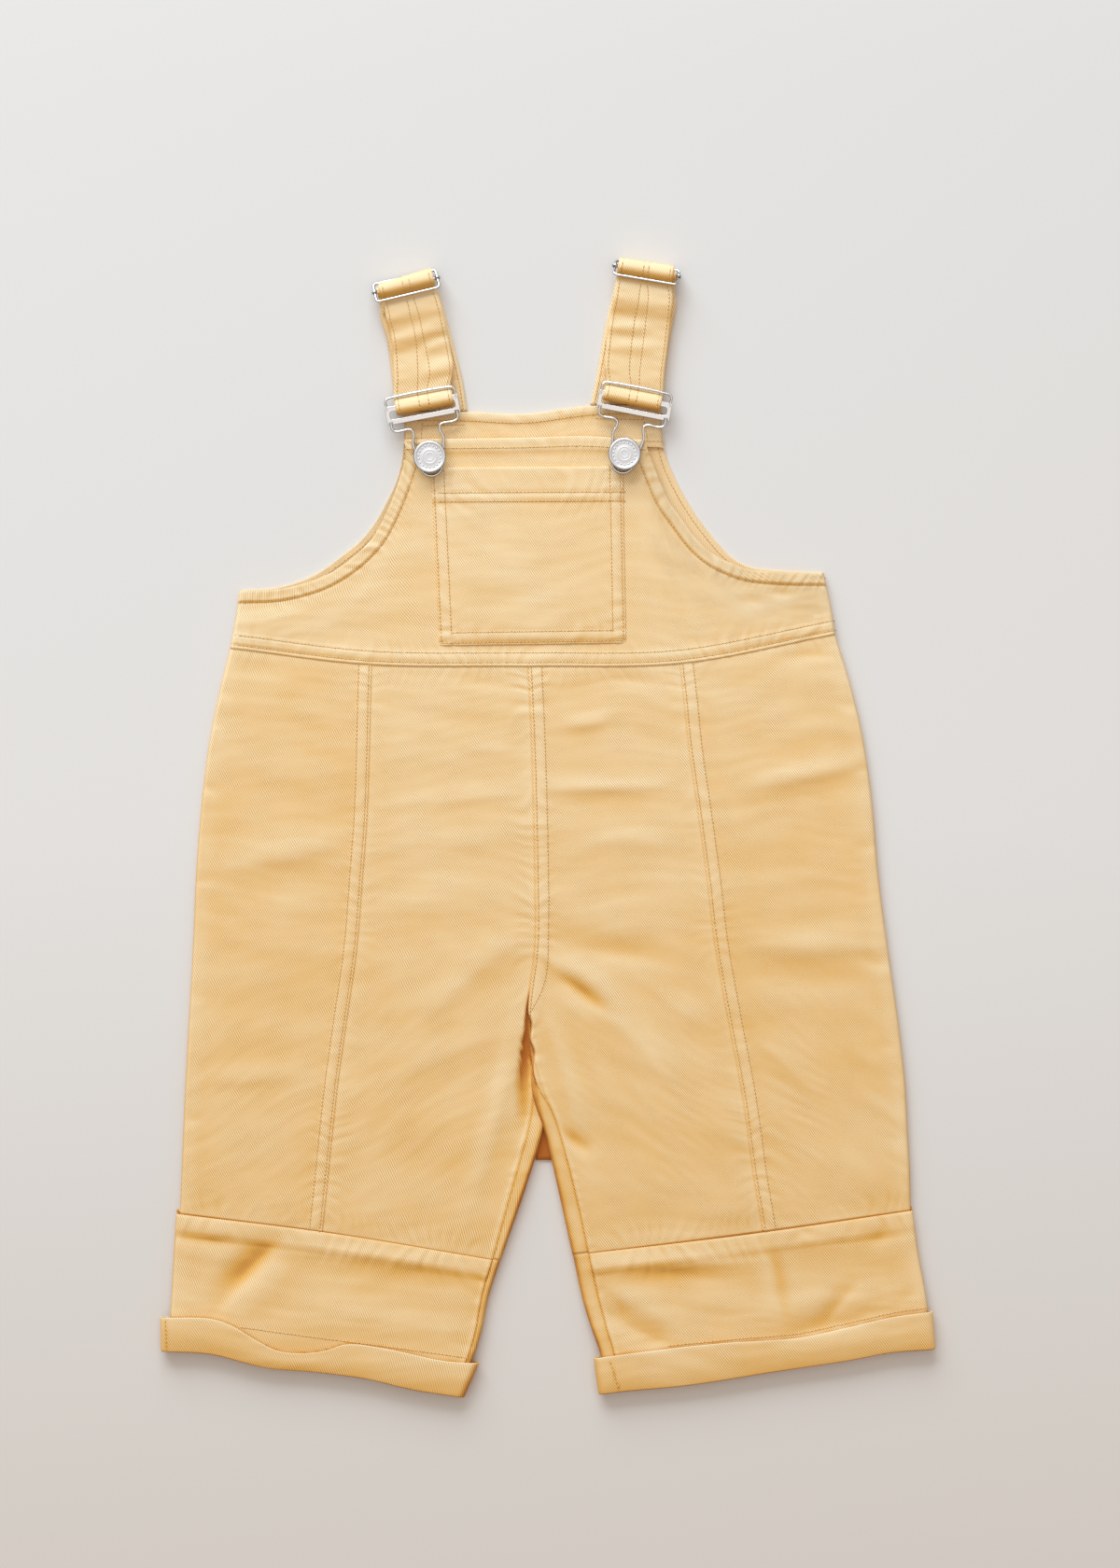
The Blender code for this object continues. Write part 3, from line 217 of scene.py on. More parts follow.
# ---------------------------------------------------------------------------
# How the cloth lies. The garment was folded for the shop and smoothed by hand,
# which leaves soft troughs with a low ridge beside them: at the crotch, under
# the yoke, across the hem bands and beside the armholes.
# ---------------------------------------------------------------------------
CREASE_COLUMNS = ("x", "y", "length", "turn", "width", "depth", "bend")
CREASES = (
    # bib and yoke: a hollow under the left armhole, soft drags beside the pocket
    (-146.0, 112.5, 46.0, 10.0, 13.0, -1.1, 1.0),
    (-76.0, 136.0, 44.0, 55.0, 15.0, 0.35, 0.0),
    (-100.0, 118.0, 40.0, 48.0, 12.0, 0.25, 0.0),
    (-18.0, 136.0, 62.0, 38.0, 24.0, 0.35, 0.0),
    (12.0, 118.0, 40.0, 24.0, 14.0, 0.2, 0.0),
    (-34.0, 162.0, 44.0, 9.0, 10.0, 0.25, 0.0),
    (54.0, 150.0, 46.0, -58.0, 12.0, 0.3, 0.0),
    (73.5, 109.0, 30.0, -75.0, 7.0, 0.3, 0.0),
    (120.0, 121.0, 13.0, 4.0, 6.0, -0.8, 0.0),
    (104.0, 116.0, 16.0, -10.0, 6.0, -0.35, 0.0),
    (134.0, 110.0, 22.0, 14.0, 8.0, -0.3, 0.0),
    # below the yoke seam
    (-148.0, 83.0, 46.0, -6.0, 10.0, -0.6, 0.0),
    (-30.0, 75.5, 38.0, 1.0, 7.0, -0.35, 0.0),
    (43.6, 75.2, 30.0, -2.0, 6.0, -0.45, 0.0),
    (133.0, 91.0, 34.0, 12.0, 12.0, -0.9, 0.0),
    (-122.0, 60.0, 20.0, -20.0, 8.0, 0.3, 0.0),
    # across the front, either side of the centre seam
    (20.4, 54.5, 28.0, 9.0, 7.0, 1.1, 0.0),
    (-31.0, 41.0, 30.0, 6.0, 8.0, 0.5, 0.0),
    (23.0, 19.8, 54.0, -1.0, 6.5, 1.2, 0.0),
    (52.0, 22.0, 26.0, 5.0, 6.0, 0.4, 0.0),
    (-47.0, 14.5, 66.0, 3.0, 7.0, 0.5, 0.5),
    (43.6, -6.5, 52.0, 2.0, 11.0, 0.85, 0.0),
    (-40.6, -7.5, 42.0, 1.0, 8.0, 0.45, 0.0),
    (-52.0, -34.0, 46.0, 8.0, 12.0, 0.22, 0.0),
    (35.0, -64.0, 64.0, -14.0, 11.0, -1.1, 1.0),
    # the sides
    (-137.5, -13.0, 58.0, 14.0, 14.0, 1.5, -1.5),
    (-126.0, 24.0, 44.0, 4.0, 14.0, 0.25, 0.0),
    (134.0, 28.0, 64.0, 10.0, 9.0, 1.5, -1.0),
    (140.5, -60.0, 74.0, -2.0, 14.0, 1.5, 1.0),
    (116.0, -6.0, 44.0, -12.0, 12.0, 0.3, 0.0),
    (-148.0, -128.0, 44.0, 3.0, 10.0, 0.7, 0.0),
    (-142.0, -60.0, 62.0, 62.0, 18.0, 0.3, 4.0),
    (126.0, -123.0, 46.0, -36.0, 11.0, 0.7, 0.0),
    (140.0, -168.0, 40.0, -14.0, 12.0, 0.25, 0.0),
    # short ones that run in from the folds at the sides
    (-170.0, 68.0, 18.0, 8.0, 5.0, -0.45, 0.0),
    (-172.0, 52.0, 14.0, -6.0, 4.5, -0.4, 0.0),
    (-174.0, 37.0, 16.0, 4.0, 5.0, -0.35, 0.0),
    (-177.0, 20.0, 18.0, -8.0, 5.0, -0.5, 0.0),
    (-179.0, -28.0, 20.0, 6.0, 6.0, -0.5, 0.0),
    (-181.0, -86.0, 16.0, 3.0, 6.0, -0.3, 0.0),
    (-184.0, -150.0, 18.0, -4.0, 6.0, -0.3, 0.0),
    (158.0, 62.0, 18.0, -8.0, 6.0, -0.5, 0.0),
    (163.0, 30.0, 14.0, 8.0, 5.0, -0.6, 0.0),
    (166.0, -9.0, 16.0, -3.0, 6.0, -0.45, 0.0),
    (171.0, -69.0, 20.0, -4.0, 6.0, -0.6, 0.0),
    (176.0, -112.0, 18.0, 8.0, 6.0, -0.35, 0.0),
    (182.0, -160.0, 18.0, -6.0, 6.0, -0.3, 0.0),
    # fanning out from the crotch
    (16.0, -77.0, 38.0, -36.0, 9.0, 1.5, 0.0),
    (19.0, -85.5, 34.0, -33.0, 7.0, -1.9, 0.0),
    (43.6, -108.0, 70.0, -43.0, 16.0, 1.3, 0.0),
    (70.0, -92.0, 44.0, -30.0, 12.0, 0.5, 0.0),
    (-40.0, -76.0, 74.0, 38.0, 14.0, 1.2, -1.0),
    (-57.5, -119.0, 74.0, 32.0, 15.0, 0.7, 0.0),
    (-76.0, -158.0, 60.0, 24.0, 16.0, 0.2, 0.0),
    (-26.0, -150.0, 98.0, 76.0, 10.0, 1.3, 3.0),
    (10.0, -130.0, 96.0, -76.0, 8.0, 0.8, -2.0),
    (15.5, -162.0, 18.0, -50.0, 7.0, -1.7, 0.0),
    (60.0, -168.0, 50.0, -20.0, 16.0, 0.25, 0.0),
    # the hem bands
    (-174.0, -208.0, 26.0, -3.0, 6.0, 0.9, 0.0),
    (-156.0, -227.0, 48.0, 49.0, 11.0, -3.4, -3.0),
    (-176.0, -211.0, 44.0, -4.0, 7.0, -1.4, 0.0),
    (-82.0, -222.0, 94.0, -4.8, 7.0, 1.3, 0.0),
    (-45.0, -265.0, 18.0, -6.0, 6.0, -0.5, 0.0),
    (-100.0, -247.0, 60.0, -10.0, 13.0, 0.3, 0.0),
    (-170.0, -248.0, 24.0, -14.0, 8.0, -0.3, 0.0),
    (61.4, -224.6, 80.0, 3.0, 6.5, 1.7, 0.0),
    (47.0, -244.0, 50.0, -35.0, 13.0, 1.0, 0.0),
    (54.0, -264.0, 18.0, 4.0, 6.0, -0.6, 0.0),
    (36.5, -247.0, 16.0, -62.0, 5.0, -0.45, 0.0),
    (118.7, -235.0, 44.0, -77.0, 6.0, -1.3, 0.0),
    (149.0, -245.0, 30.0, 50.0, 8.0, -1.3, 1.0),
    (46.0, -256.0, 38.0, -30.0, 9.0, -1.2, 0.0),
    (172.0, -208.6, 26.0, 6.0, 8.0, -1.0, 0.0),
    (133.0, -207.4, 8.0, 0.0, 4.0, -0.6, 0.0),
    (145.0, -254.0, 48.0, 17.0, 9.0, -1.8, -1.0),
    (186.0, -240.0, 16.0, 10.0, 7.0, -0.55, 0.0),
    (88.0, -243.0, 40.0, 12.0, 10.0, 0.25, 0.0),
)
RELIEF = 0.45              # overall height of the creases
UNEVENNESS = 0.04          # height of the cloth's slow waves
DRAG_SLOPE = 0.008         # steepness of its fine drag lines
DRAG_PITCHES = (4.6, 6.1, 8.3, 11.9, 16.7)
WAVE_COLUMNS = ("pitch", "heading", "start")
WAVES = ((71.0, 95.0, 0.4), (53.0, 75.0, 1.9), (39.0, 111.0, 4.0), (29.0, 88.0, 2.2))


def drag_lines(x, y, heading, start):
    """Height of faint long wrinkles that run one way and fade in and out."""
    turn = math.radians(heading)
    along = x * math.cos(turn) + y * math.sin(turn)
    across = y * math.cos(turn) - x * math.sin(turn)
    height = np.zeros_like(x)
    for order, pitch in enumerate(DRAG_PITCHES):
        sway = 2.4 * np.sin(along / (9.0 + 2.3 * order) + start * order)
        sway += 1.7 * np.sin(along / 23.0 - across / 31.0)
        fade = 0.5 + 0.5 * np.sin(along / (11.0 + order) + across / 17.0 + start + 2.0 * order)
        height += DRAG_SLOPE * pitch / math.pi * fade ** 1.5 * np.sin(across * 2 * math.pi / pitch + sway)
    return height


def lie(x, y):
    """Height of the creases, drag lines and slow waves at points of the cloth, in mm."""
    height = np.zeros_like(x)
    for row in CREASES:
        crease = dict(zip(CREASE_COLUMNS, row))
        turn = math.radians(crease["turn"])
        east, north = x - crease["x"], y - crease["y"]
        along = (east * math.cos(turn) + north * math.sin(turn)) / (crease["length"] / 2)
        across = north * math.cos(turn) - east * math.sin(turn) - crease["bend"] * along ** 2
        across = across / (crease["width"] / 2) + 0.25 * np.sin(2.1 * along + crease["x"])
        # A fold is broad on its upper side and falls off more sharply below.
        profile = np.exp(-np.where(across > 0.0, across / 1.5, across / 0.8) ** 2)
        lobe = 0.25 * np.exp(-((across + 2.3) / 1.1) ** 2)
        height += RELIEF * crease["depth"] * np.exp(-1.4 * np.abs(along) ** 2.4) * (profile - lobe)
    for order, row in enumerate(WAVES):
        wave = dict(zip(WAVE_COLUMNS, row))
        angle = math.radians(wave["heading"])
        phase = (x * math.cos(angle) + y * math.sin(angle)) * 2 * math.pi / wave["pitch"] + wave["start"]
        bent = 1.6 * np.sin(y / 27.0 + order) + 1.3 * np.sin(x / 22.0 - 2 * order + y / 60.0)
        height += UNEVENNESS * np.sin(phase + bent)
    # Level across the hips, drawn towards the crotch on either leg below it.
    below = np.clip((-40.0 - y) / 80.0, 0.0, 1.0) * np.clip((y + 205.0) / 30.0, 0.0, 1.0)
    left = np.clip(0.5 - x / 30.0, 0.0, 1.0)
    height += (1 - below) * drag_lines(x, y, 2.0, 0.7)
    height += below * (left * drag_lines(x, y, 30.0, 2.9) + (1 - left) * drag_lines(x, y, -36.0, 5.1))
    return height


# ---------------------------------------------------------------------------
# Topstitching. Every stitch is a bead of thread, and between it and the next
# one a smaller, darker bead is painted shade for the needle's hole. Geometry Nodes lay both on the cloth.
# ---------------------------------------------------------------------------
STITCH_PITCH = 1.95        # about thirteen stitches an inch
STITCH_LENGTH = 1.25
THREAD_RADIUS = 0.25
HOLE_SHADE_SIZE = (0.78, 1.45, 0.7)             # the painted hole shade's size against the stitch's, along, across and up
THREAD_TONES = ("F0C98A", "DDAA60")    # pale and deep
# Painted shade: darker thread colours for the beads drawn as the needle holes' shade.
HOLE_SHADE_TONES = ("D0A45E", "B88A46")
STITCH_SWAY = 0.12         # how far a stitch can turn from its row, in radians
START_HEIGHT = 0.04        # how far over or under the floor the rows' points start, in metres
FAR_OFF = 0.03             # further than any cloth lies from the floor, in metres
STITCH_INPUTS = {
    "Lines": "Geometry",
    "Cloth": "Object",
    "Toward": "Vector",
    "Pitch": "Float",
    "Length": "Float",
    "Thread Radius": "Float",
    "Finish": "Material",
    "Dimple Finish": "Material",
}


def sewing_thread(name, light, deep):
    """Spun polyester thread, with a dull shine."""
    made, tree, shader = new_material(name, Roughness=0.6)
    place = node(tree, "ShaderNodeTexCoord").outputs["Object"]
    uneven = noise(tree, place, 420.0, 1.0)
    colour = node(tree, "ShaderNodeMix", {"data_type": "RGBA"}, [(uneven, 0)])
    colour.inputs[6].default_value = linear(deep)
    colour.inputs[7].default_value = linear(light)
    tree.links.new(colour.outputs[2], shader.inputs["Base Color"])
    return made


def lockstitch():
    """Geometry Nodes: a stitch and a bead of painted hole shade at each step along lines that are dropped on
    a cloth.
    """
    tree = bpy.data.node_groups.new("lockstitch", "GeometryNodeTree")
    for title, kind in STITCH_INPUTS.items():
        tree.interface.new_socket(title, in_out="INPUT", socket_type="NodeSocket" + kind)
    tree.interface.new_socket("Stitches", in_out="OUTPUT", socket_type="NodeSocketGeometry")
    given = node(tree, "NodeGroupInput").outputs
    steps = node(tree, "GeometryNodeResampleCurve", {"mode": "LENGTH"},
                 [(given["Lines"], "Curve"), (given["Pitch"], "Length")]).outputs["Curve"]
    cloth = node(tree, "GeometryNodeObjectInfo", links=[(given["Cloth"], "Object")]).outputs["Geometry"]
    drop = node(tree, "GeometryNodeRaycast", Ray_Length=1.0,
                links=[(cloth, "Target Geometry"), (given["Toward"], "Ray Direction")]).outputs
    landing = [(drop["Is Hit"], "Selection"), (drop["Hit Position"], "Position")]
    dropped = node(tree, "GeometryNodeSetPosition", links=[(steps, "Geometry"), *landing]).outputs[0]
    points = node(tree, "GeometryNodeCurveToPoints", {"mode": "EVALUATED"}, [(dropped, "Curve")]).outputs
    # A point that met no cloth stays far off and is dropped.
    place = node(tree, "GeometryNodeInputPosition").outputs[0]
    height = node(tree, "ShaderNodeSeparateXYZ", links=[(place, 0)]).outputs["Z"]
    missed = maths(tree, "GREATER_THAN", maths(tree, "ABSOLUTE", height), _1=FAR_OFF)
    kept = node(tree, "GeometryNodeDeleteGeometry", {"domain": "POINT"},
                [(points["Points"], "Geometry"), (missed, "Selection")]).outputs[0]
    # Each stitch lies along its row and flat on the cloth, turned aside a little at random.
    along = node(tree, "FunctionNodeAlignRotationToVector", {"axis": "X"},
                 [(points["Tangent"], "Vector")]).outputs[0]
    flat = node(tree, "FunctionNodeAlignRotationToVector", {"axis": "Z", "pivot_axis": "X"},
                [(along, "Rotation"), (drop["Hit Normal"], "Vector")]).outputs[0]
    sway = node(tree, "FunctionNodeRandomValue", {"data_type": "FLOAT"},
                _2=-STITCH_SWAY, _3=STITCH_SWAY, Seed=7).outputs[1]
    skew = node(tree, "ShaderNodeCombineXYZ", links=[(sway, "Z")]).outputs[0]
    turn = node(tree, "FunctionNodeRotateRotation", {"rotation_space": "LOCAL"},
                [(flat, 0), (skew, 1)]).outputs[0]
    # The thread and its painted hole shade, half a pitch further on, are scaled to the stitch together.
    bead = node(tree, "GeometryNodeMeshUVSphere", Segments=6, Rings=3, Radius=1.0).outputs["Mesh"]
    thread = node(tree, "GeometryNodeSetMaterial",
                  links=[(bead, "Geometry"), (given["Finish"], "Material")]).outputs[0]
    beyond = node(tree, "ShaderNodeCombineXYZ",
                  links=[(maths(tree, "DIVIDE", given["Pitch"], given["Length"]), "X")]).outputs[0]
    small = node(tree, "GeometryNodeTransform",
                 links=[(bead, "Geometry"), (beyond, "Translation")], Scale=HOLE_SHADE_SIZE).outputs[0]
    hole_shade = node(tree, "GeometryNodeSetMaterial",
                  links=[(small, "Geometry"), (given["Dimple Finish"], "Material")]).outputs[0]
    both = node(tree, "GeometryNodeJoinGeometry", links=[(thread, 0), (hole_shade, 0)]).outputs[0]
    half = maths(tree, "MULTIPLY", given["Length"], _1=0.5)
    radius = given["Thread Radius"]
    size = node(tree, "ShaderNodeCombineXYZ", links=[(half, "X"), (radius, "Y"), (radius, "Z")]).outputs[0]
    laid = node(tree, "GeometryNodeInstanceOnPoints",
                links=[(kept, "Points"), (both, "Instance"), (turn, "Rotation"), (size, "Scale")]).outputs[0]
    real = node(tree, "GeometryNodeRealizeInstances", links=[(laid, 0)]).outputs[0]
    node(tree, "NodeGroupOutput", links=[(real, "Stitches")])
    return tree


POLYESTER = sewing_thread("spun_polyester_thread", *THREAD_TONES)
# Painted shade: the darker beads between the stitches stand for the needle holes' shade.
PAINTED_HOLE_SHADE = sewing_thread("shaded_thread", *HOLE_SHADE_TONES)
LOCKSTITCH = lockstitch()


def stitched(cloth, lines, toward=-1.0, name=None):
    """Rows of stitches on a cloth's upper side, or on its underside where toward is +1."""
    curve = bpy.data.curves.new("rows", "CURVE")
    curve.dimensions = "3D"
    for line in lines:
        spline = curve.splines.new("POLY")
        spline.points.add(len(line) - 1)
        for target, point in zip(spline.points, line):
            target.co = (*((point[:2] - CENTRE) * MM), START_HEIGHT * -toward, 1.0)
    holder = added("rows", curve)
    sewing = holder.modifiers.new("sewing", "NODES")
    sewing.node_group = LOCKSTITCH
    values = {
        "Cloth": cloth,
        "Toward": (0.0, 0.0, toward),
        "Pitch": STITCH_PITCH * MM,
        "Length": STITCH_LENGTH * MM,
        "Thread Radius": THREAD_RADIUS * MM,
        "Finish": POLYESTER,
        "Dimple Finish": PAINTED_HOLE_SHADE,
    }
    for item in LOCKSTITCH.interface.items_tree:
        if item.name in values:
            sewing[item.identifier] = values[item.name]
    mesh = baked(holder)
    mesh.shade_smooth()
    made = added(name or "stitches_" + cloth.name.removesuffix("_cloth"), mesh)
    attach(made, "root")
    return made


# ---------------------------------------------------------------------------
# Panels. Each is a grid of points from which a thin shell of twill is made.
# Its seams, puckers and allowances are pressed in, and painted light and shade are worked into
# its tone from its slopes, hollows and seams, before it is laid down with its rows of stitches.
# ---------------------------------------------------------------------------
CLOTH = 0.9                # one layer of twill
FOLD_RADIUS = 2.2          # half the height of a leg as it lies
SEAM_ANGLE = 14.0          # degrees from a fold's middle to the side seam
FOLD_STOPS = FOLD_RADIUS * (1 - np.cos(np.radians((SEAM_ANGLE, 20.0, 34.0, 48.0, 62.0, 76.0, 90.0))))
ALLOWANCE = 0.32           # how far a seam's allowance lifts the cloth over it
TABLE_ENDS = np.array((0.0, 0.25, 0.55, 0.95))        # the first rows' stations, close beside a seam
BESIDE_SEAM = np.array((2.2, 1.5, 0.9, 0.4, 0.0))     # the last columns' distances from a seam
TUCK = ((2.0, 1.1), (1.3, 0.6), (0.4, 0.06))          # how far out and down each row runs on
CREST_REACH = 5            # grid steps over which a ridge or hollow stands out
CREST_GAIN = 0.75          # how much its height paints the tone, per mm: painted shade in hollows, painted highlight on ridges
PAINTED_SLOPE_GAIN = 2.3             # painted light: how much paler slopes that rise towards the straps and the window are painted, and deeper those that fall away
STEEP_GAIN = 0.35          # painted shade: how much deeper steep folds are painted
SEAM_SHADE = 0.55          # painted shade: how much deeper the cloth is painted beside the edge that lies over it
SIDE_SHADE = 0.1           # how much deeper the tone is towards the garment's sides, fading out towards the hems
HOLLOW_SHADE = 0.23        # painted shade: how much deeper the cloth is painted in the hollow between the legs, per mm


def smooth(points, steps=10):
    """Fine points of a centripetal Catmull-Rom curve through the given ones."""
    points = np.asarray(points, dtype=float)
    if len(points) < 3:
        return points
    padded = np.vstack([2 * points[0] - points[1], points, 2 * points[-1] - points[-2]])
    fine = [points[:1]]
    for index in range(1, len(padded) - 2):
        around = padded[index - 1:index + 3]
        knots = np.concatenate([[0.0], np.cumsum(np.sqrt(np.linalg.norm(np.diff(around, axis=0), axis=1)))])
        time = np.linspace(knots[1], knots[2], steps + 1)[1:, None]
        level = list(around)
        for order, ends in ((1, ((0, 1), (1, 2), (2, 3))), (2, ((0, 2), (1, 3))), (3, ((1, 2),))):
            level = [level[k] + (level[k + 1] - level[k]) * (time - knots[a]) / (knots[b] - knots[a])
                     for k, (a, b) in zip(range(4 - order), ends)]
        fine.append(level[0])
    return np.vstack(fine)


def runs(points):
    """Distance of each point of a polyline from its start, seen from above."""
    steps = np.linalg.norm(np.diff(points[:, :2], axis=0), axis=1)
    return np.concatenate([[0.0], np.cumsum(steps)])


def at_lengths(points, lengths):
    """Points of a polyline at the given distances from its start."""
    along = runs(points)
    return np.stack([np.interp(lengths, along, column) for column in points.T], axis=1)


def crowded(length, count):
    """Shares of a length in even steps, closer together beside both ends."""
    near = BESIDE_SEAM[::-1] / length
    return np.concatenate([near[:-1], np.linspace(near[-1], 1 - near[-1], count - 8), 1 - near[-2::-1]])


def table_rows(table, count):
    """The rows of a section table, drawn out smoothly to count steps."""
    fine = smooth(table, steps=20)
    last = len(fine) - 1
    between_ends = np.linspace(1.5, last - 1.5, count - 2 * len(TABLE_ENDS) + 1)
    stations = np.concatenate([TABLE_ENDS, between_ends, last - TABLE_ENDS[::-1]])
    return np.stack([np.interp(stations, np.arange(len(fine)), column) for column in fine.T], axis=1)


def parallel(line, distance):
    """A line beside another one, on its left where distance is positive."""
    heading = np.gradient(line, axis=0)
    heading /= np.maximum(np.linalg.norm(heading, axis=1), 0.001)[:, None]
    return line + distance * np.stack([-heading[:, 1], heading[:, 0]], axis=1)


def between(line, first, last):
    """The part of a line between two distances from its start."""
    return at_lengths(line, np.linspace(first, last, max(int((last - first) / 2.0), 2)))


def beside(points, line):
    """Each point's distance from a line, positive on its left, and how far along the line it is."""
    steps = np.diff(line, axis=0)
    lengths = np.linalg.norm(steps, axis=1)
    along = runs(line)
    nearest = np.full(len(points), np.inf)
    side = np.ones(len(points))
    place = np.zeros(len(points))
    for start, step, length, run in zip(line, steps, lengths, along):
        offset = points - start
        share = np.clip((offset @ step) / max(length, 1e-9) ** 2, 0.0, 1.0)
        gap = np.hypot(offset[:, 0] - share * step[0], offset[:, 1] - share * step[1])
        nearer = gap < nearest
        turn = np.where(step[0] * offset[:, 1] < step[1] * offset[:, 0], -1.0, 1.0)
        nearest = np.where(nearer, gap, nearest)
        side = np.where(nearer, turn, side)
        place = np.where(nearer, run + share * length, place)
    return nearest * side, place


def gaps(grid, line):
    """Each grid point's distance from a line, seen from above."""
    return np.abs(beside(grid[..., :2].reshape(-1, 2), line)[0]).reshape(grid.shape[:2])


def lifted(curve, stops, heights):
    """Points above a row's curve."""
    return np.column_stack([at_lengths(curve, stops), heights])


def fold_height(distance):
    """Height over the fold's middle at a distance in from a leg's edge."""
    inside = np.clip(FOLD_RADIUS - distance, 0.0, FOLD_RADIUS)
    return np.sqrt(FOLD_RADIUS ** 2 - inside ** 2)


def over_fold(grid):
    """How far a grid's points lie in a leg's upper half, from 0 at its fold to 1 on its top."""
    return np.clip(grid[..., 2] / FOLD_RADIUS - 1.0, 0.0, 1.0)


def lay_creases(grid):
    """Lay a front panel's creases in, fading out round the fold."""
    grid[..., 2] += lie(grid[..., 0], grid[..., 1]) * over_fold(grid)


SEAM_GROOVE = 0.12         # depth of the groove along a folded seam
ROW_GROOVE = 0.2           # depth of the groove that a row of stitches draws
PLAIN_DIP = 0.05           # how far the plain side of a seam dips


def seam_relief(grid, line, rows=(), over=True, width=8.0, lift=ALLOWANCE, pucker=0.12, beat=7.0):
    """Press a seam into a grid: the folded, stitched side lies over the plain one."""
    flat = grid.reshape(-1, 3)
    gap, place = beside(flat[:, :2], line)
    gap = np.abs(gap)
    if over:
        share = np.clip((width - gap) / 2.0, 0.0, 1.0)
        flat[:, 2] += lift * share ** 2 * (3 - 2 * share) - SEAM_GROOVE * np.exp(-(gap / 0.6) ** 2)
    else:
        flat[:, 2] -= PLAIN_DIP * np.exp(-gap / 1.1)
    for row in rows:
        flat[:, 2] -= ROW_GROOVE * np.exp(-((gap - row) / 0.8) ** 2)
    # The thread draws the cloth up into small puckers, stronger in some places.
    wander = place + 6.0 * np.sin(place / 19.0 + gap / 9.0) + 3.0 * np.sin(place / 7.3)
    swell = 0.55 + 0.45 * np.sin(place / 13.7 + 1.3) * np.sin(place / 31.0)
    drawn = pucker * swell * np.exp(-((gap - width / 2) / (width * 0.75)) ** 2)
    turn = wander * 2 * math.pi / beat
    flat[:, 2] += drawn * (np.sin(turn) + 0.6 * np.sin(turn / 0.57))


def tuck(grid, edges):
    """Run a panel on under its neighbour at the named edges: top, bottom, left or right."""
    for edge in edges:
        if edge in ("left", "right"):
            grid = grid.transpose(1, 0, 2)
        if edge in ("bottom", "right"):
            grid = grid[::-1]
        outward = grid[0, :, :2] - grid[1, :, :2]
        outward = outward / np.maximum(np.linalg.norm(outward, axis=1), 0.001)[:, None]
        added = []
        for reach, drop in TUCK:
            row = grid[0].copy()
            row[:, :2] += outward * reach
            row[:, 2] = np.maximum(row[:, 2] - drop, np.minimum(row[:, 2], 0.05))
            added.append(row)
        grid = np.concatenate([np.array(added), grid])
        if edge in ("bottom", "right"):
            grid = grid[::-1]
        if edge in ("left", "right"):
            grid = grid.transpose(1, 0, 2)
    return grid


def blurred(values, reach):
    """Values on a grid averaged over a few neighbours each way, twice."""
    for axis in (0, 1, 0, 1):
        values = np.moveaxis(values, axis, 0)
        padded = np.pad(values, ((reach + 1, reach), (0, 0)), mode="edge").cumsum(axis=0)
        values = np.moveaxis((padded[2 * reach + 1:] - padded[:-2 * reach - 1]) / (2 * reach + 1), 0, axis)
    return values


def painted_light(grid, facing, ring, seams):
    """Painted light and shade in the cloth's tone at each point: paler on slopes that face the straps and on
    ridges, deeper on slopes that face away, on steep folds, in hollows and beside seams; and a deeper tone
    towards the sides.
    """
    normal = np.cross(np.gradient(grid, axis=0), np.gradient(grid, axis=1))
    normal /= np.maximum(np.linalg.norm(normal, axis=2), 1e-9)[..., None]
    height = grid[..., 2] - (grid[..., 2].mean(axis=1, keepdims=True) if ring else 0.0)
    outward = np.sign((normal[..., 2] * height).sum()) if ring else np.sign(normal[..., 2].sum()) * facing
    # Painted light and shade: slopes that rise towards the straps and the window are painted paler, those
    # that fall away and steep folds deeper.
    tone = PAINTED_SLOPE_GAIN * np.clip(normal[..., 1] * outward, -0.35, 0.1)
    tone -= STEEP_GAIN * (1 - np.abs(normal[..., 2]))
    if not ring:
        # Painted shade in hollows and painted highlight on ridges, and painted shade in the hollow between
        # the legs.
        tone += np.clip((height - blurred(height, CREST_REACH)) * facing * CREST_GAIN, -0.8, 0.15)
        tone -= HOLLOW_SHADE * sunk(grid) * np.clip(grid[..., 2], 0.0, 1.0)
    # Painted shade beside each edge that lies over this cloth.
    for line in seams:
        tone -= SEAM_SHADE * np.exp(-(gaps(grid, line) / 0.6) ** 2)
    side = np.clip((np.abs(grid[..., 0]) - 75.0) / 30.0, 0.0, 1.0) * (grid[..., 1] < 90.0)
    return tone - SIDE_SHADE * side * np.clip((grid[..., 1] + 170.0) / 120.0, 0.0, 1.0)


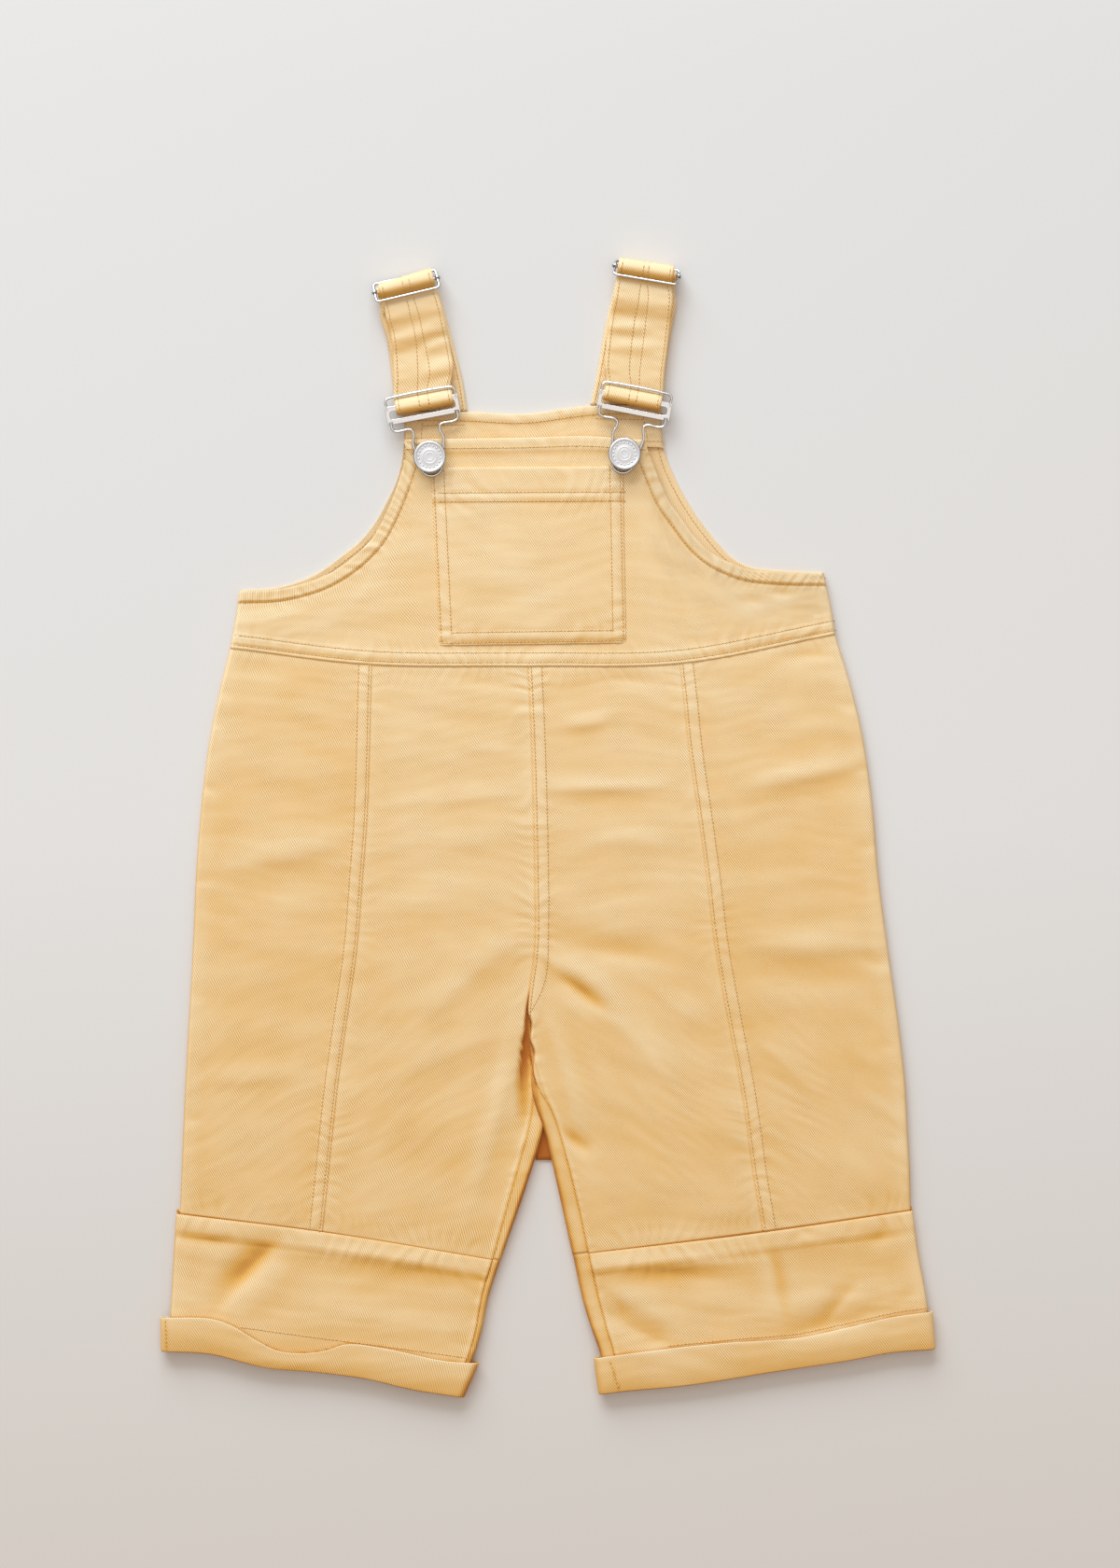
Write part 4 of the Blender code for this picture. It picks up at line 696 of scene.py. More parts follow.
def panel(name, grid, wall=CLOTH, facing=1.0, ring=False, middle=None, seams=(), shade=0.0):
    """A thin shell of twill on a grid of points in mm, with a UV map in metres.

    wall is the cloth's thickness, and 0 leaves the grid as it is. facing is +1 where the outer side
    looks up on the whole and -1 where it looks down. ring closes the columns to a tube, and middle is
    the column where the chart starts. seams are the lines along which another edge lies over this
    one, and painted shade is laid beside them. shade is more painted shade that deepens the tone, of
    every point or of each row. The tone, mostly painted light and shade, is stored as an attribute.
    """
    rows, columns = grid.shape[:2]
    number = np.arange(rows * columns).reshape(rows, columns)
    if ring:
        number = np.concatenate([number, number[:, :1]], axis=1)
    corners = np.stack([number[:-1, :-1], number[1:, :-1], number[1:, 1:], number[:-1, 1:]], axis=-1)
    steps = np.linalg.norm(np.diff(grid, axis=1), axis=2)
    across = np.concatenate([np.zeros((rows, 1)), np.cumsum(steps, axis=1)], axis=1)
    middle = columns // 2 if middle is None else middle
    across = np.tile(across[rows // 2], (rows, 1)) if ring else across
    across = across - across[:, middle][:, None]
    origin = grid[0, middle, :2]
    steps = np.linalg.norm(np.diff(grid[:, middle], axis=0), axis=1)
    down = -np.concatenate([[0.0], np.cumsum(steps)])[:, None] * np.ones((1, columns))
    if ring:
        steps = np.linalg.norm(np.diff(grid, axis=0), axis=2)
        down = -np.concatenate([np.zeros((1, columns)), np.cumsum(steps, axis=0)])
        down = down - down[rows // 2] + down[rows // 2, middle]
        closing = np.full(rows, np.linalg.norm(grid[rows // 2, -1] - grid[rows // 2, 0]))
        across = np.concatenate([across, across[:, -1:] + closing[:, None]], axis=1)
        down = np.concatenate([down, down[:, :1]], axis=1)
    # Seen from its outer side, every panel's wales fall to the right.
    upper = grid[:, 1:, 2] - grid[:, 1:, 2].mean() if ring else np.ones((rows, columns - 1))
    rightward = np.sign((np.diff(grid[..., 0], axis=1) * upper).sum())
    chart = (np.stack([across * rightward * facing, down], axis=-1) + origin) * MM
    chart = np.stack([chart[:-1, :-1], chart[1:, :-1], chart[1:, 1:], chart[:-1, 1:]], axis=2)
    corners, chart = corners.reshape(-1, 4), chart.reshape(-1, 4, 2)
    points = (grid.reshape(-1, 3) - (*CENTRE, 0.0)) * MM
    first = points[corners[:, 2]] - points[corners[:, 0]]
    second = points[corners[:, 3]] - points[corners[:, 1]]
    if np.cross(first, second)[:, 2].sum() * facing < 0:
        corners, chart = corners[:, ::-1], chart[:, ::-1]
    used, corners = np.unique(corners, return_inverse=True)
    mesh = bpy.data.meshes.new(name)
    mesh.from_pydata(points[used].tolist(), [], corners.reshape(-1, 4).tolist())
    mesh.uv_layers.new(name="cloth").data.foreach_set("uv", chart.reshape(-1).astype(np.float32))
    tone = (painted_light(grid, facing, ring, seams) - shade).reshape(-1)
    mesh.attributes.new("crest", "FLOAT", "POINT").data.foreach_set("value", tone[used].astype(np.float32))
    mesh.shade_smooth()
    mesh.materials.append(TWILL)
    made = added(name, mesh)
    if wall:
        shell = made.modifiers.new("wall", "SOLIDIFY")
        shell.thickness = wall * MM
        shell.offset = -1.0
    return made


def extent(grid):
    """A panel's cut in metres: its widest row, its longest column and its flat area."""
    across = np.linalg.norm(np.diff(grid, axis=1), axis=2).sum(axis=1).max()
    down = np.linalg.norm(np.diff(grid, axis=0), axis=2).sum(axis=0).max()
    first, second = grid[1:, 1:] - grid[:-1, :-1], grid[:-1, 1:] - grid[1:, :-1]
    area = np.linalg.norm(np.cross(first, second), axis=2).sum() / 2
    return (float(across * MM), float(down * MM)), float(area * MM * MM)


def sew_on(made, rows=(), toward=-1.0):
    """Put a panel of cloth that lies on others in place of its solid, with its rows of stitches."""
    threads = [stitched(made, rows, toward)] if rows else []
    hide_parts(made.name.removesuffix("_cloth"))
    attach(made, "root")


# ---------------------------------------------------------------------------
# Legs. Each front leg is a side and a centre panel of twill joined by a
# princess seam; its allowances are pressed to the side and stitched down
# twice. The back is one panel that rolls over the inner edge to the inseam.
# ---------------------------------------------------------------------------
TOPSTITCH = (1.3, 6.6)     # both rows' distance from a seam
LEG_ROWS = 236
LEG_COLUMNS_BETWEEN = 64   # columns of a front panel between its fold or seam and the next seam
BACK_COLUMNS = 60          # columns of a back panel between its folds
WRAP_STEPS = 26            # steps round the inner fold
LEAST_INSEAM = 0.15        # the inner edge lies at least this far in
LEG_COLUMNS = ("outer_x", "outer_y", "princess_x", "princess_y", "inner_x", "inner_y", "inseam")
LEFT_LEG = (
    (-163.1, 91.9, -90.4, 83.4, -9.9, 82.5, 0.0),
    (-168.5, 70.3, -91.0, 63.6, -8.9, 62.0, 0.0),
    (-173.9, 43.4, -91.6, 38.0, -7.9, 38.0, 0.0),
    (-178.0, 9.4, -92.8, 5.0, -7.0, 6.0, 0.0),
    (-180.6, -24.2, -95.1, -26.0, -6.4, -26.0, 0.0),
    (-182.0, -58.0, -97.8, -60.0, -6.4, -60.0, 0.0),
    (-184.2, -98.0, -103.2, -99.0, -10.4, -98.0, 0.0),
    (-186.0, -130.0, -107.6, -130.0, -6.9, -126.5, 0.8),
    (-186.7, -145.0, -109.4, -146.0, -4.4, -140.0, 3.4),
    (-187.3, -160.0, -111.0, -161.0, -2.3, -153.0, 7.4),
    (-188.1, -180.0, -113.5, -186.0, -10.3, -182.0, 7.2),
    (-188.9, -197.5, -115.7, -206.8, -24.1, -222.0, 4.2),
)
RIGHT_LEG = (
    (147.5, 99.0, 68.0, 84.0, -9.9, 82.5, 0.0),
    (155.0, 75.0, 70.0, 66.0, -8.9, 62.0, 0.0),
    (161.5, 48.0, 72.4, 42.0, -7.9, 38.0, 0.0),
    (166.5, 14.0, 77.0, 10.0, -7.0, 6.0, 0.0),
    (169.8, -24.0, 82.0, -27.0, -6.4, -26.0, 0.0),
    (174.3, -59.3, 85.9, -60.0, -6.4, -60.0, 0.0),
    (179.8, -98.0, 92.6, -98.0, -10.4, -98.0, 0.0),
    (183.3, -128.0, 98.2, -127.0, -6.9, -123.5, 1.0),
    (184.2, -141.5, 100.6, -141.0, -5.2, -136.0, 3.4),
    (184.8, -155.0, 102.6, -155.0, -3.0, -148.0, 6.4),
    (186.0, -176.0, 106.0, -180.0, 4.0, -180.0, 8.4),
    (186.4, -195.8, 110.5, -206.6, 12.6, -219.0, 8.3),
)
CROTCH_ROW = 6             # the row where the two legs part
CROTCH_CURVE_ROWS = 34     # the outer row of stitches leaves the seam this many rows above the crotch
CROTCH_CURVE = ((0.3, -66.0), (-0.9, -76.0), (-3.2, -84.0), (-8.4, -94.0))     # the outer row's end
CROTCH_TOP = -96.0         # below here the inner edge rolls over, and above it the legs are sewn together
CROTCH_FADE = 14.0
# Below the crotch the left leg's inner edge has sunk into a hollow.
HOLLOW_COLUMNS = ("y", "reach", "depth", "soft")
HOLLOW = (
    (-80.0, 0.4, 0.0, 1.0),
    (-90.0, 1.0, 1.0, 1.0),
    (-98.0, 1.6, 2.1, 1.0),
    (-105.0, 2.4, 2.5, 1.1),
    (-118.0, 6.3, 2.6, 1.6),
    (-134.0, 12.5, 1.7, 5.0),
    (-148.0, 16.0, 1.1, 7.0),
    (-160.0, 17.0, 0.0, 7.0),
)
# The right leg's inner edge is drawn up below the crotch: (y, how far aside).
SCALLOPS = (
    (-94.0, 0.0), (-96.7, 0.5), (-100.6, 1.7), (-104.5, 1.2), (-109.2, 0.1), (-115.4, 1.0),
    (-119.5, -0.2), (-124.1, -1.7), (-134.6, -2.9), (-145.7, -2.2), (-153.4, -0.8), (-160.0, 0.0))


def sunk(grid):
    """How far a grid's points sink beside the left leg's inner edge, below the crotch."""
    table = dict(zip(HOLLOW_COLUMNS, np.array(HOLLOW).T))
    here = {column: np.interp(-grid[..., 1], -table["y"], table[column]) for column in HOLLOW_COLUMNS[1:]}
    edge = smooth([row[4:6] for row in LEFT_LEG])
    gap = grid[..., 0] - np.interp(-grid[..., 1], -edge[:, 1], edge[:, 0])
    share = np.clip((here["reach"] + gap) / here["soft"], 0.0, 1.0) * (gap < 0.3)
    return share ** 2 * (3 - 2 * share) * here["depth"]


def scalloped(grid, edge):
    """Draw the right leg's inner edge in and out below the crotch."""
    down, aside = smooth(SCALLOPS).T
    gap = grid[..., 0] - np.interp(-grid[..., 1], -edge[:, 1], edge[:, 0])
    grid[..., 0] += np.interp(-grid[..., 1], -down, aside) * np.exp(-(gap / 4.0) ** 2)


def leg_sections(table, columns, count, spacing):
    """Fine cross-sections of a leg or band: curve, length to its middle point, whole length and values."""
    sections = []
    for row in table_rows(table, count):
        values = dict(zip(columns, row))
        curve = smooth(np.array(row[:6]).reshape(3, 2), steps=spacing)
        along = runs(curve)
        sections.append((curve, along[spacing], along[-1], values))
    return sections


def wrap_points(whole, inseam):
    """Distances along a row and heights, from the floor round the inner fold to the inseam."""
    inseam = max(inseam, LEAST_INSEAM)
    if inseam < FOLD_RADIUS:
        reach = FOLD_RADIUS * (math.pi / 2 + math.acos(1 - inseam / FOLD_RADIUS))
    else:
        reach = math.pi * FOLD_RADIUS + inseam - FOLD_RADIUS
    length = np.linspace(0.0, reach, WRAP_STEPS + 1)
    angle = np.minimum(length / FOLD_RADIUS, math.pi) - math.pi / 2
    past = np.maximum(length - math.pi * FOLD_RADIUS, 0.0)
    return whole - FOLD_RADIUS * (1 - np.cos(angle)) - past, FOLD_RADIUS * (1 + np.sin(angle))


def settle_back(grid):
    """Lay a back panel's creases in: dents upward where it rests, and the front's where it rolls over."""
    resting = np.clip(1.0 - grid[..., 2], 0.0, 1.0)
    dents = np.maximum(-0.45 * lie(12.0 - grid[..., 0], grid[..., 1]), 0.0)
    grid[..., 2] += lie(grid[..., 0], grid[..., 1]) * over_fold(grid) + dents * resting


YOKE_LINES = []            # the line of each leg's top, along the yoke seam
for hand, table in (("left", LEFT_LEG), ("right", RIGHT_LEG)):
    sections = leg_sections(table, LEG_COLUMNS, LEG_ROWS, 24)
    side, centre = [], []
    for curve, princess, whole, values in sections:
        level = np.linspace(FOLD_RADIUS, princess - 3.0, LEG_COLUMNS_BETWEEN)
        stops = np.concatenate([FOLD_STOPS, level[1:], princess - BESIDE_SEAM])
        side.append(lifted(curve, stops, FOLD_RADIUS + fold_height(stops)))
        hollow = FOLD_RADIUS * min(max((values["inner_y"] - CROTCH_TOP) / CROTCH_FADE, 0.0), 1.0)
        end = whole - max(values["inseam"], LEAST_INSEAM)
        level = np.linspace(princess + 3.0, end - 3.0, LEG_COLUMNS_BETWEEN - 2)
        stops = np.concatenate([princess + BESIDE_SEAM[::-1], level, end - BESIDE_SEAM])
        centre.append(lifted(curve, stops, FOLD_RADIUS + fold_height(whole - stops + hollow)))
    side, centre = np.array(side), np.array(centre)
    princess_line, inner_line = side[:, -1, :2].copy(), centre[:, -1, :2].copy()
    top_line, bottom_line = [np.vstack([side[end], centre[end]])[:, :2] for end in (0, -1)]
    YOKE_LINES.append(top_line)
    for grid in (side, centre):
        lay_creases(grid)
        seam_relief(grid, top_line, over=False, pucker=0.06)
        seam_relief(grid, bottom_line, over=False, pucker=0.1)
    seam_relief(side, princess_line, TOPSTITCH, pucker=0.08)
    seam_relief(centre, princess_line, over=False, pucker=0.05)
    crotch = int(LEG_ROWS * CROTCH_ROW / (len(table) - 1))
    seam_relief(centre, centre[:crotch, -1, :2], TOPSTITCH if hand == "right" else (), over=hand == "right")
    seam_relief(centre, centre[crotch:, -1, :2], lift=0.2, width=3.0, pucker=0.1)
    # The allowances lie flat where they run in under the yoke.
    for grid in (side, centre):
        ridge = np.maximum(grid[..., 2] - np.median(grid[..., 2]) - 0.05, 0.0)
        grid[..., 2] -= ridge * np.exp(-(gaps(grid, top_line) / 3.0) ** 2)
    if hand == "left":
        centre[..., 2] -= sunk(centre) * over_fold(centre)
    else:
        scalloped(centre, np.array([curve[-1] for curve, _, _, _ in sections]))
    outward = -1.0 if hand == "left" else 1.0
    rows = [parallel(princess_line, outward * row) for row in TOPSTITCH]
    made = panel("front_side_leg_" + hand + "_cloth", tuck(side, ("top", "bottom")), seams=(top_line,))
    sew_on(made, rows)
    # The centre seam is folded to the right and stitched there; the left panel runs in under it.
    rows = []
    under_edges = ("top", "bottom", "left")
    covered = (top_line, princess_line, inner_line[crotch:])
    if hand == "right":
        rows.append(parallel(inner_line[:crotch], TOPSTITCH[0]))
        outer_row = parallel(inner_line[:crotch - CROTCH_CURVE_ROWS], TOPSTITCH[1])
        rows.append(np.vstack([outer_row, smooth(CROTCH_CURVE)[2:]]))
    else:
        under_edges += ("right",)
        covered += (inner_line[:crotch],)
    made = panel("front_centre_leg_" + hand + "_cloth", tuck(centre, under_edges), seams=covered)
    sew_on(made, rows)

    under = []
    for index, (curve, _, whole, values) in enumerate(sections[::2]):
        level = np.linspace(FOLD_RADIUS, whole - FOLD_RADIUS, BACK_COLUMNS)
        stops = np.concatenate([FOLD_STOPS, level[1:]])
        heights = FOLD_RADIUS - fold_height(stops)
        if index * 2 >= crotch:
            more, up = wrap_points(whole, values["inseam"])
        else:
            more = np.linspace(whole - FOLD_RADIUS, whole - LEAST_INSEAM, WRAP_STEPS + 1)
            up = np.linspace(0.0, 0.001, WRAP_STEPS + 1)
        stops, heights = np.concatenate([stops, more[1:]]), np.concatenate([heights, up[1:]])
        under.append(lifted(curve, stops, heights))
    under = np.array(under)
    settle_back(under)
    parted = (crotch + 1) // 2
    seam_relief(under, under[parted:, -1, :2], over=False, pucker=0.1)
    if hand == "left":
        under[..., 2] -= sunk(under) * over_fold(under)
    else:
        scalloped(under, np.array([curve[-1] for curve, _, _, _ in sections]))
    rows = []
    if hand == "left":
        rows = [parallel(inner_line[:crotch - 2], -row) for row in TOPSTITCH]
    made = panel("back_leg_" + hand + "_cloth", tuck(under, ("right",)), facing=-1.0,
                 seams=(under[parted:, -1, :2],))
    sew_on(made, rows, 1.0)


# ---------------------------------------------------------------------------
# Back rise. The end of the back's seat seam hangs a little lower than the
# front's and closes the top of the gap between the legs; its cloth is painted deep as the shade there.
# ---------------------------------------------------------------------------
RISE_TOP = (-3.5, -141.0)
RISE_END = (1.0, -171.0)
RISE_HALF_WIDTH = 7.0
RISE_HEIGHT = 0.95
down, across = np.meshgrid(np.linspace(0.0, 1.0, 13), np.linspace(-1.0, 1.0, 9), indexing="ij")
x = RISE_TOP[0] + (RISE_END[0] - RISE_TOP[0]) * down + RISE_HALF_WIDTH * across
y = RISE_TOP[1] + (RISE_END[1] - RISE_TOP[1]) * down
rise = np.stack([x, y, np.full_like(x, RISE_HEIGHT)], axis=2)
# Painted shade: the rise's cloth is painted much deeper, most at its top, for the shade in the gap between
# the legs.
cloth = panel("back_rise_cloth", rise, wall=0.8, shade=1.6 - 0.3 * down)
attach(cloth, "root")


# ---------------------------------------------------------------------------
# Hem bands. A deep band of twill is sewn under each leg, front and back, and
# its end is turned up once over itself as a cuff. The left cuff has dropped
# open a little. The band's hem was stitched before it was turned up.
# ---------------------------------------------------------------------------
CUFF_RADIUS = 3.55         # half the height of a turned-up cuff
CUFF_WALL = 1.4
CUFF_RISE = 1.7            # how far a cuff's back lifts the band
BAND_ROWS = 56
BAND_COLUMNS_BETWEEN = 124
BAND_COLUMNS = ("outer_x", "outer_y", "middle_x", "middle_y", "inner_x", "inner_y", "inseam", "rise")
LEFT_BAND = (
    (-190.8, -198.3, -109.0, -208.6, -24.4, -222.6, 4.2, 0.0),
    (-192.2, -221.0, -110.0, -230.0, -30.4, -241.0, 3.4, 0.1),
    (-193.2, -242.0, -111.5, -249.0, -34.4, -260.0, 3.0, 0.8),
    (-193.8, -250.5, -113.0, -257.0, -37.8, -271.0, 2.8, 1.0),
    (-194.2, -265.5, -115.0, -275.5, -45.0, -288.0, 2.8, 1.0),
)
RIGHT_BAND = (
    (187.4, -196.6, 105.0, -208.6, 12.9, -219.6, 8.3, 0.0),
    (190.6, -220.0, 107.0, -229.0, 17.8, -242.0, 8.2, 0.1),
    (194.0, -239.0, 109.0, -248.0, 23.2, -259.5, 7.6, 0.8),
    (195.0, -247.5, 110.0, -256.0, 26.9, -270.0, 7.0, 1.0),
    (195.7, -263.5, 112.0, -276.0, 29.6, -286.0, 6.6, 1.0),
)
LEFT_CUFF_UPPER = (
    (-198.9, -251.4), (-173.2, -251.8), (-161.9, -255.4), (-149.2, -263.0), (-138.0, -268.4),
    (-126.0, -269.6), (-114.0, -268.2), (-103.1, -265.0), (-84.0, -267.0), (-53.7, -273.4), (-35.2, -274.8))
LEFT_CUFF_LOWER = (
    (-198.6, -268.2), (-173.2, -269.6), (-144.4, -276.8), (-117.3, -279.2), (-93.5, -282.2),
    (-69.5, -287.8), (-42.6, -292.0))
RIGHT_CUFF_UPPER = (
    (23.6, -272.2), (57.1, -267.8), (88.9, -264.4), (128.7, -261.6), (152.6, -256.6), (176.5, -251.1),
    (197.6, -248.2))
RIGHT_CUFF_LOWER = (
    (26.0, -290.4), (38.0, -288.8), (73.1, -285.4), (112.9, -279.2), (152.7, -273.2), (176.5, -268.8),
    (199.2, -267.0))
CUFF_EDGES = {"left": (LEFT_CUFF_UPPER, LEFT_CUFF_LOWER), "right": (RIGHT_CUFF_UPPER, RIGHT_CUFF_LOWER)}
BAND_HEMS = {
    "left": ((-157.5, -256.4), (-118.0, -261.8), (-78.0, -267.0), (-39.3, -272.4)),
    "right": ((62.0, -266.0), (100.0, -262.2), (128.7, -259.7), (152.6, -254.7), (176.5, -249.2),
              (194.5, -246.4)),
}

for hand, table in (("left", LEFT_BAND), ("right", RIGHT_BAND)):
    front, back = [], []
    for curve, _, whole, values in leg_sections(table, BAND_COLUMNS, BAND_ROWS, 24):
        end = whole - values["inseam"]
        top = values["rise"] * (2 * CUFF_RADIUS - CUFF_WALL - 0.3 - 2 * FOLD_RADIUS)
        bottom = values["rise"] * CUFF_RISE
        middle = FOLD_RADIUS + (top + bottom) / 2
        level = np.linspace(FOLD_RADIUS, end - 3.0, BAND_COLUMNS_BETWEEN)
        stops = np.concatenate([FOLD_STOPS, level[1:], end - BESIDE_SEAM])
        heights = middle + fold_height(stops) * (2 - (middle - top) / FOLD_RADIUS)
        front.append(lifted(curve, stops, heights))
        more, up = wrap_points(whole, values["inseam"])
        level = np.linspace(FOLD_RADIUS, whole - FOLD_RADIUS, BACK_COLUMNS)
        stops = np.concatenate([FOLD_STOPS, level[1:]])
        heights = np.concatenate([FOLD_RADIUS - fold_height(stops), up[1:]])
        heights = heights * (1 + (top - bottom) / (2 * FOLD_RADIUS)) + bottom
        back.append(lifted(curve, np.concatenate([stops, more[1:]]), heights))
    front, back = np.array(front), np.array(back)
    upper_line, inseam_line = front[0, :, :2], front[:, -1, :2]
    lay_creases(front)
    seam_relief(front, upper_line, width=10.5, lift=0.4, pucker=0.16, beat=9.0)
    front[..., 2] -= 0.25 * np.exp(-gaps(front, upper_line) / 1.6)
    seam_relief(front, inseam_line, lift=0.2, width=3.0)
    settle_back(back)
    seam_relief(back, back[0, :, :2], width=7.0, lift=0.0, pucker=0.05)
    made = panel("front_band_" + hand + "_cloth", front, seams=(inseam_line, smooth(CUFF_EDGES[hand][0])))
    sew_on(made, [smooth(BAND_HEMS[hand])])
    made = panel("back_band_" + hand + "_cloth", tuck(back, ("top", "right")), facing=-1.0,
                 seams=(back[:, -1, :2],))
    sew_on(made)

CUFF_SEAMS = {"left": ((-195.9, -252.6), (-195.5, -267.4)), "right": ((32.2, -274.0), (36.4, -288.0))}
CUFF_COLUMNS = 116
CUFF_RETURN = 1.35         # the cuff's inner layer lies this far inside its outer one
CUFF_TURN = np.radians(np.arange(0.0, 91.0, 18.0))
CUFF_DROOP = 0.18          # how much thinner it is at its fold than at its free edge
# The cuff's way down its outer side, round its fold and up inside: (share of its depth, inset).
CUFF_PATH = [(down, 0.0) for down in (0.0, 0.025, 0.06, 0.1, *np.linspace(0.16, 1.0, 13))]
for turn in np.radians((30.0, 60.0, 90.0, 120.0, 150.0, 180.0)):
    CUFF_PATH.append((1.0 + 0.035 * math.sin(turn), CUFF_RETURN * (1 - math.cos(turn)) / 2))
CUFF_PATH += [(down, CUFF_RETURN) for down in np.linspace(0.92, 0.3, 7)]

for hand, (upper, lower) in CUFF_EDGES.items():
    share = np.linspace(0.0, 1.0, 240)
    edges = [smooth(upper), smooth(lower), np.array((upper[0], upper[-1]))]
    upper_points, lower_points, plain_points = [at_lengths(edge, share * runs(edge)[-1]) for edge in edges]
    ring = []
    for down, inset in CUFF_PATH:
        radius = CUFF_RADIUS - inset
        droop = 1.0 - CUFF_DROOP * np.clip((down - 0.4) / 0.6, 0.0, 1.0) ** 2
        halves = []
        for border in (upper_points, plain_points):
            curve = (1 - down) * border + down * lower_points
            whole = runs(curve)[-1]
            ends = inset + radius * (1 - np.cos(CUFF_TURN))
            across = np.linspace(CUFF_RADIUS, whole - CUFF_RADIUS, CUFF_COLUMNS + 1)[1:-1]
            stops = np.concatenate([ends, across, whole - ends[::-1]])
            level = np.full(len(across), math.pi / 2)
            rise = droop * radius * np.sin(np.concatenate([CUFF_TURN, level, CUFF_TURN[::-1]]))
            halves.append((curve, stops, rise))
        front = lifted(halves[0][0], halves[0][1], CUFF_RADIUS + halves[0][2])
        front[:, 2] += lie(front[:, 0], front[:, 1]) * halves[0][2] / CUFF_RADIUS
        back = lifted(halves[1][0], halves[1][1][1:-1], CUFF_RADIUS - halves[1][2][1:-1])
        ring.append(np.vstack([front, back[::-1]]))
    ring = np.array(ring)
    # Painted highlight: its free edge is painted paler, where it catches the light, and the cuff a little
    # paler towards that edge than towards its fold.
    down = np.array(CUFF_PATH)[:, :1]
    painted_edge_light = -0.4 * np.exp(-(16.0 * down / 1.2) ** 2) - 0.1 * (1 - down)
    cuff = panel("cuff_" + hand + "_cloth", ring, wall=0.6, ring=True, middle=len(halves[0][1]) // 2,
                 seams=(np.array(CUFF_SEAMS[hand]),), shade=painted_edge_light)
    mesh = bmesh.new()
    mesh.from_mesh(cuff.data)
    mesh.normal_update()
    outward = sum((face.normal.z * face.calc_center_median().z for face in mesh.faces
                   if abs(face.calc_center_median().z / MM - CUFF_RADIUS) > 3.2), 0.0)
    if outward < 0:
        bmesh.ops.reverse_faces(mesh, faces=mesh.faces)
    mesh.to_mesh(cuff.data)
    mesh.free()
    sew_on(cuff, [np.array(CUFF_SEAMS[hand])])


# ---------------------------------------------------------------------------
# Bib and yoke. Front and back are each cut in one from the bib's top down to
# the yoke seam. The armholes and top edges are turned twice and stitched; the
# yoke's lower edge is folded over the legs' and stitched down twice.
# ---------------------------------------------------------------------------
LEG_TOP = 2 * FOLD_RADIUS
HEM = 6.0                  # the armhole hem's stitching, from its edge
TOP_HEM = 5.0              # the front top hem's stitching
BACK_TOP_ROWS = (4.5, 20.0)
INSIDE_HEM = 2.9           # the armholes' stitching on the inside of the back
YOKE_ROWS = (2.1, 7.1)     # the yoke's stitching, from its seam
FRONT_ARMHOLE_LEFT = (
    (-158.3, 121.4), (-138.0, 122.4), (-118.5, 127.4), (-106.2, 133.9), (-96.4, 141.7),
    (-89.1, 150.0), (-81.3, 164.9), (-76.1, 178.9), (-73.6, 188.0), (-73.3, 199.0))
FRONT_BIB_TOP = ((-73.3, 199.0), (-53.7, 199.4), (-12.9, 199.9), (20.0, 200.7), (49.5, 198.7))
FRONT_ARMHOLE_RIGHT = (
    (49.5, 198.7), (56.3, 180.7), (61.5, 168.7), (68.7, 158.3), (76.6, 147.8),
    (83.9, 141.1), (91.2, 136.9), (101.6, 133.0), (116.7, 131.1), (141.7, 130.4))
BACK_ARMHOLE_LEFT = (
    (-158.1, 121.9), (-137.9, 123.4), (-118.5, 130.5), (-104.3, 140.7), (-94.9, 148.6),
    (-88.1, 157.4), (-82.7, 167.3), (-77.3, 178.9), (-74.4, 192.0), (-73.4, 213.6))
BACK_BIB_TOP = ((-73.4, 213.6), (-41.7, 213.6), (-12.9, 212.4), (24.1, 216.8), (58.0, 217.0))
BACK_ARMHOLE_RIGHT = (
    (58.0, 217.0), (59.4, 196.0), (64.7, 180.7), (74.5, 163.0), (81.3, 153.6),
    (88.1, 145.2), (95.3, 138.2), (103.6, 133.9), (116.7, 132.1), (141.7, 131.0))
STRAP_BOXES = (-59.7, 40.4)            # middles of the boxes of stitches that hold the straps' ends
BOX_HALF_WIDTH, BOX_LOW, BOX_HIGH = 16.0, 200.0, 211.0
LEFT_YOKE_SIDE = ((-158.3, 121.4), (-160.4, 107.0), (-163.1, 92.2))
RIGHT_YOKE_SIDE = ((141.7, 130.4), (145.2, 114.0), (147.5, 99.3))
YOKE_CORNERS = (0.32, 0.68)            # where the bib's top corners lead to along the yoke seam
YOKE_SEAM = np.vstack([YOKE_LINES[0], YOKE_LINES[1][::-1]])


def patch(top, bottom, left, right, down):
    """Coons patch between four borders, as rows of (x, y); down gives the rows' shares of the sides."""
    down = down[:, None, None]
    across = np.linspace(0.0, 1.0, len(top))[None, :, None]
    between_ends = (1 - down) * top[None] + down * bottom[None]
    between_sides = (1 - across) * left[:, None] + across * right[:, None]
    corners = ((1 - down) * ((1 - across) * top[0] + across * top[-1])
               + down * ((1 - across) * bottom[0] + across * bottom[-1]))
    return between_ends + between_sides - corners


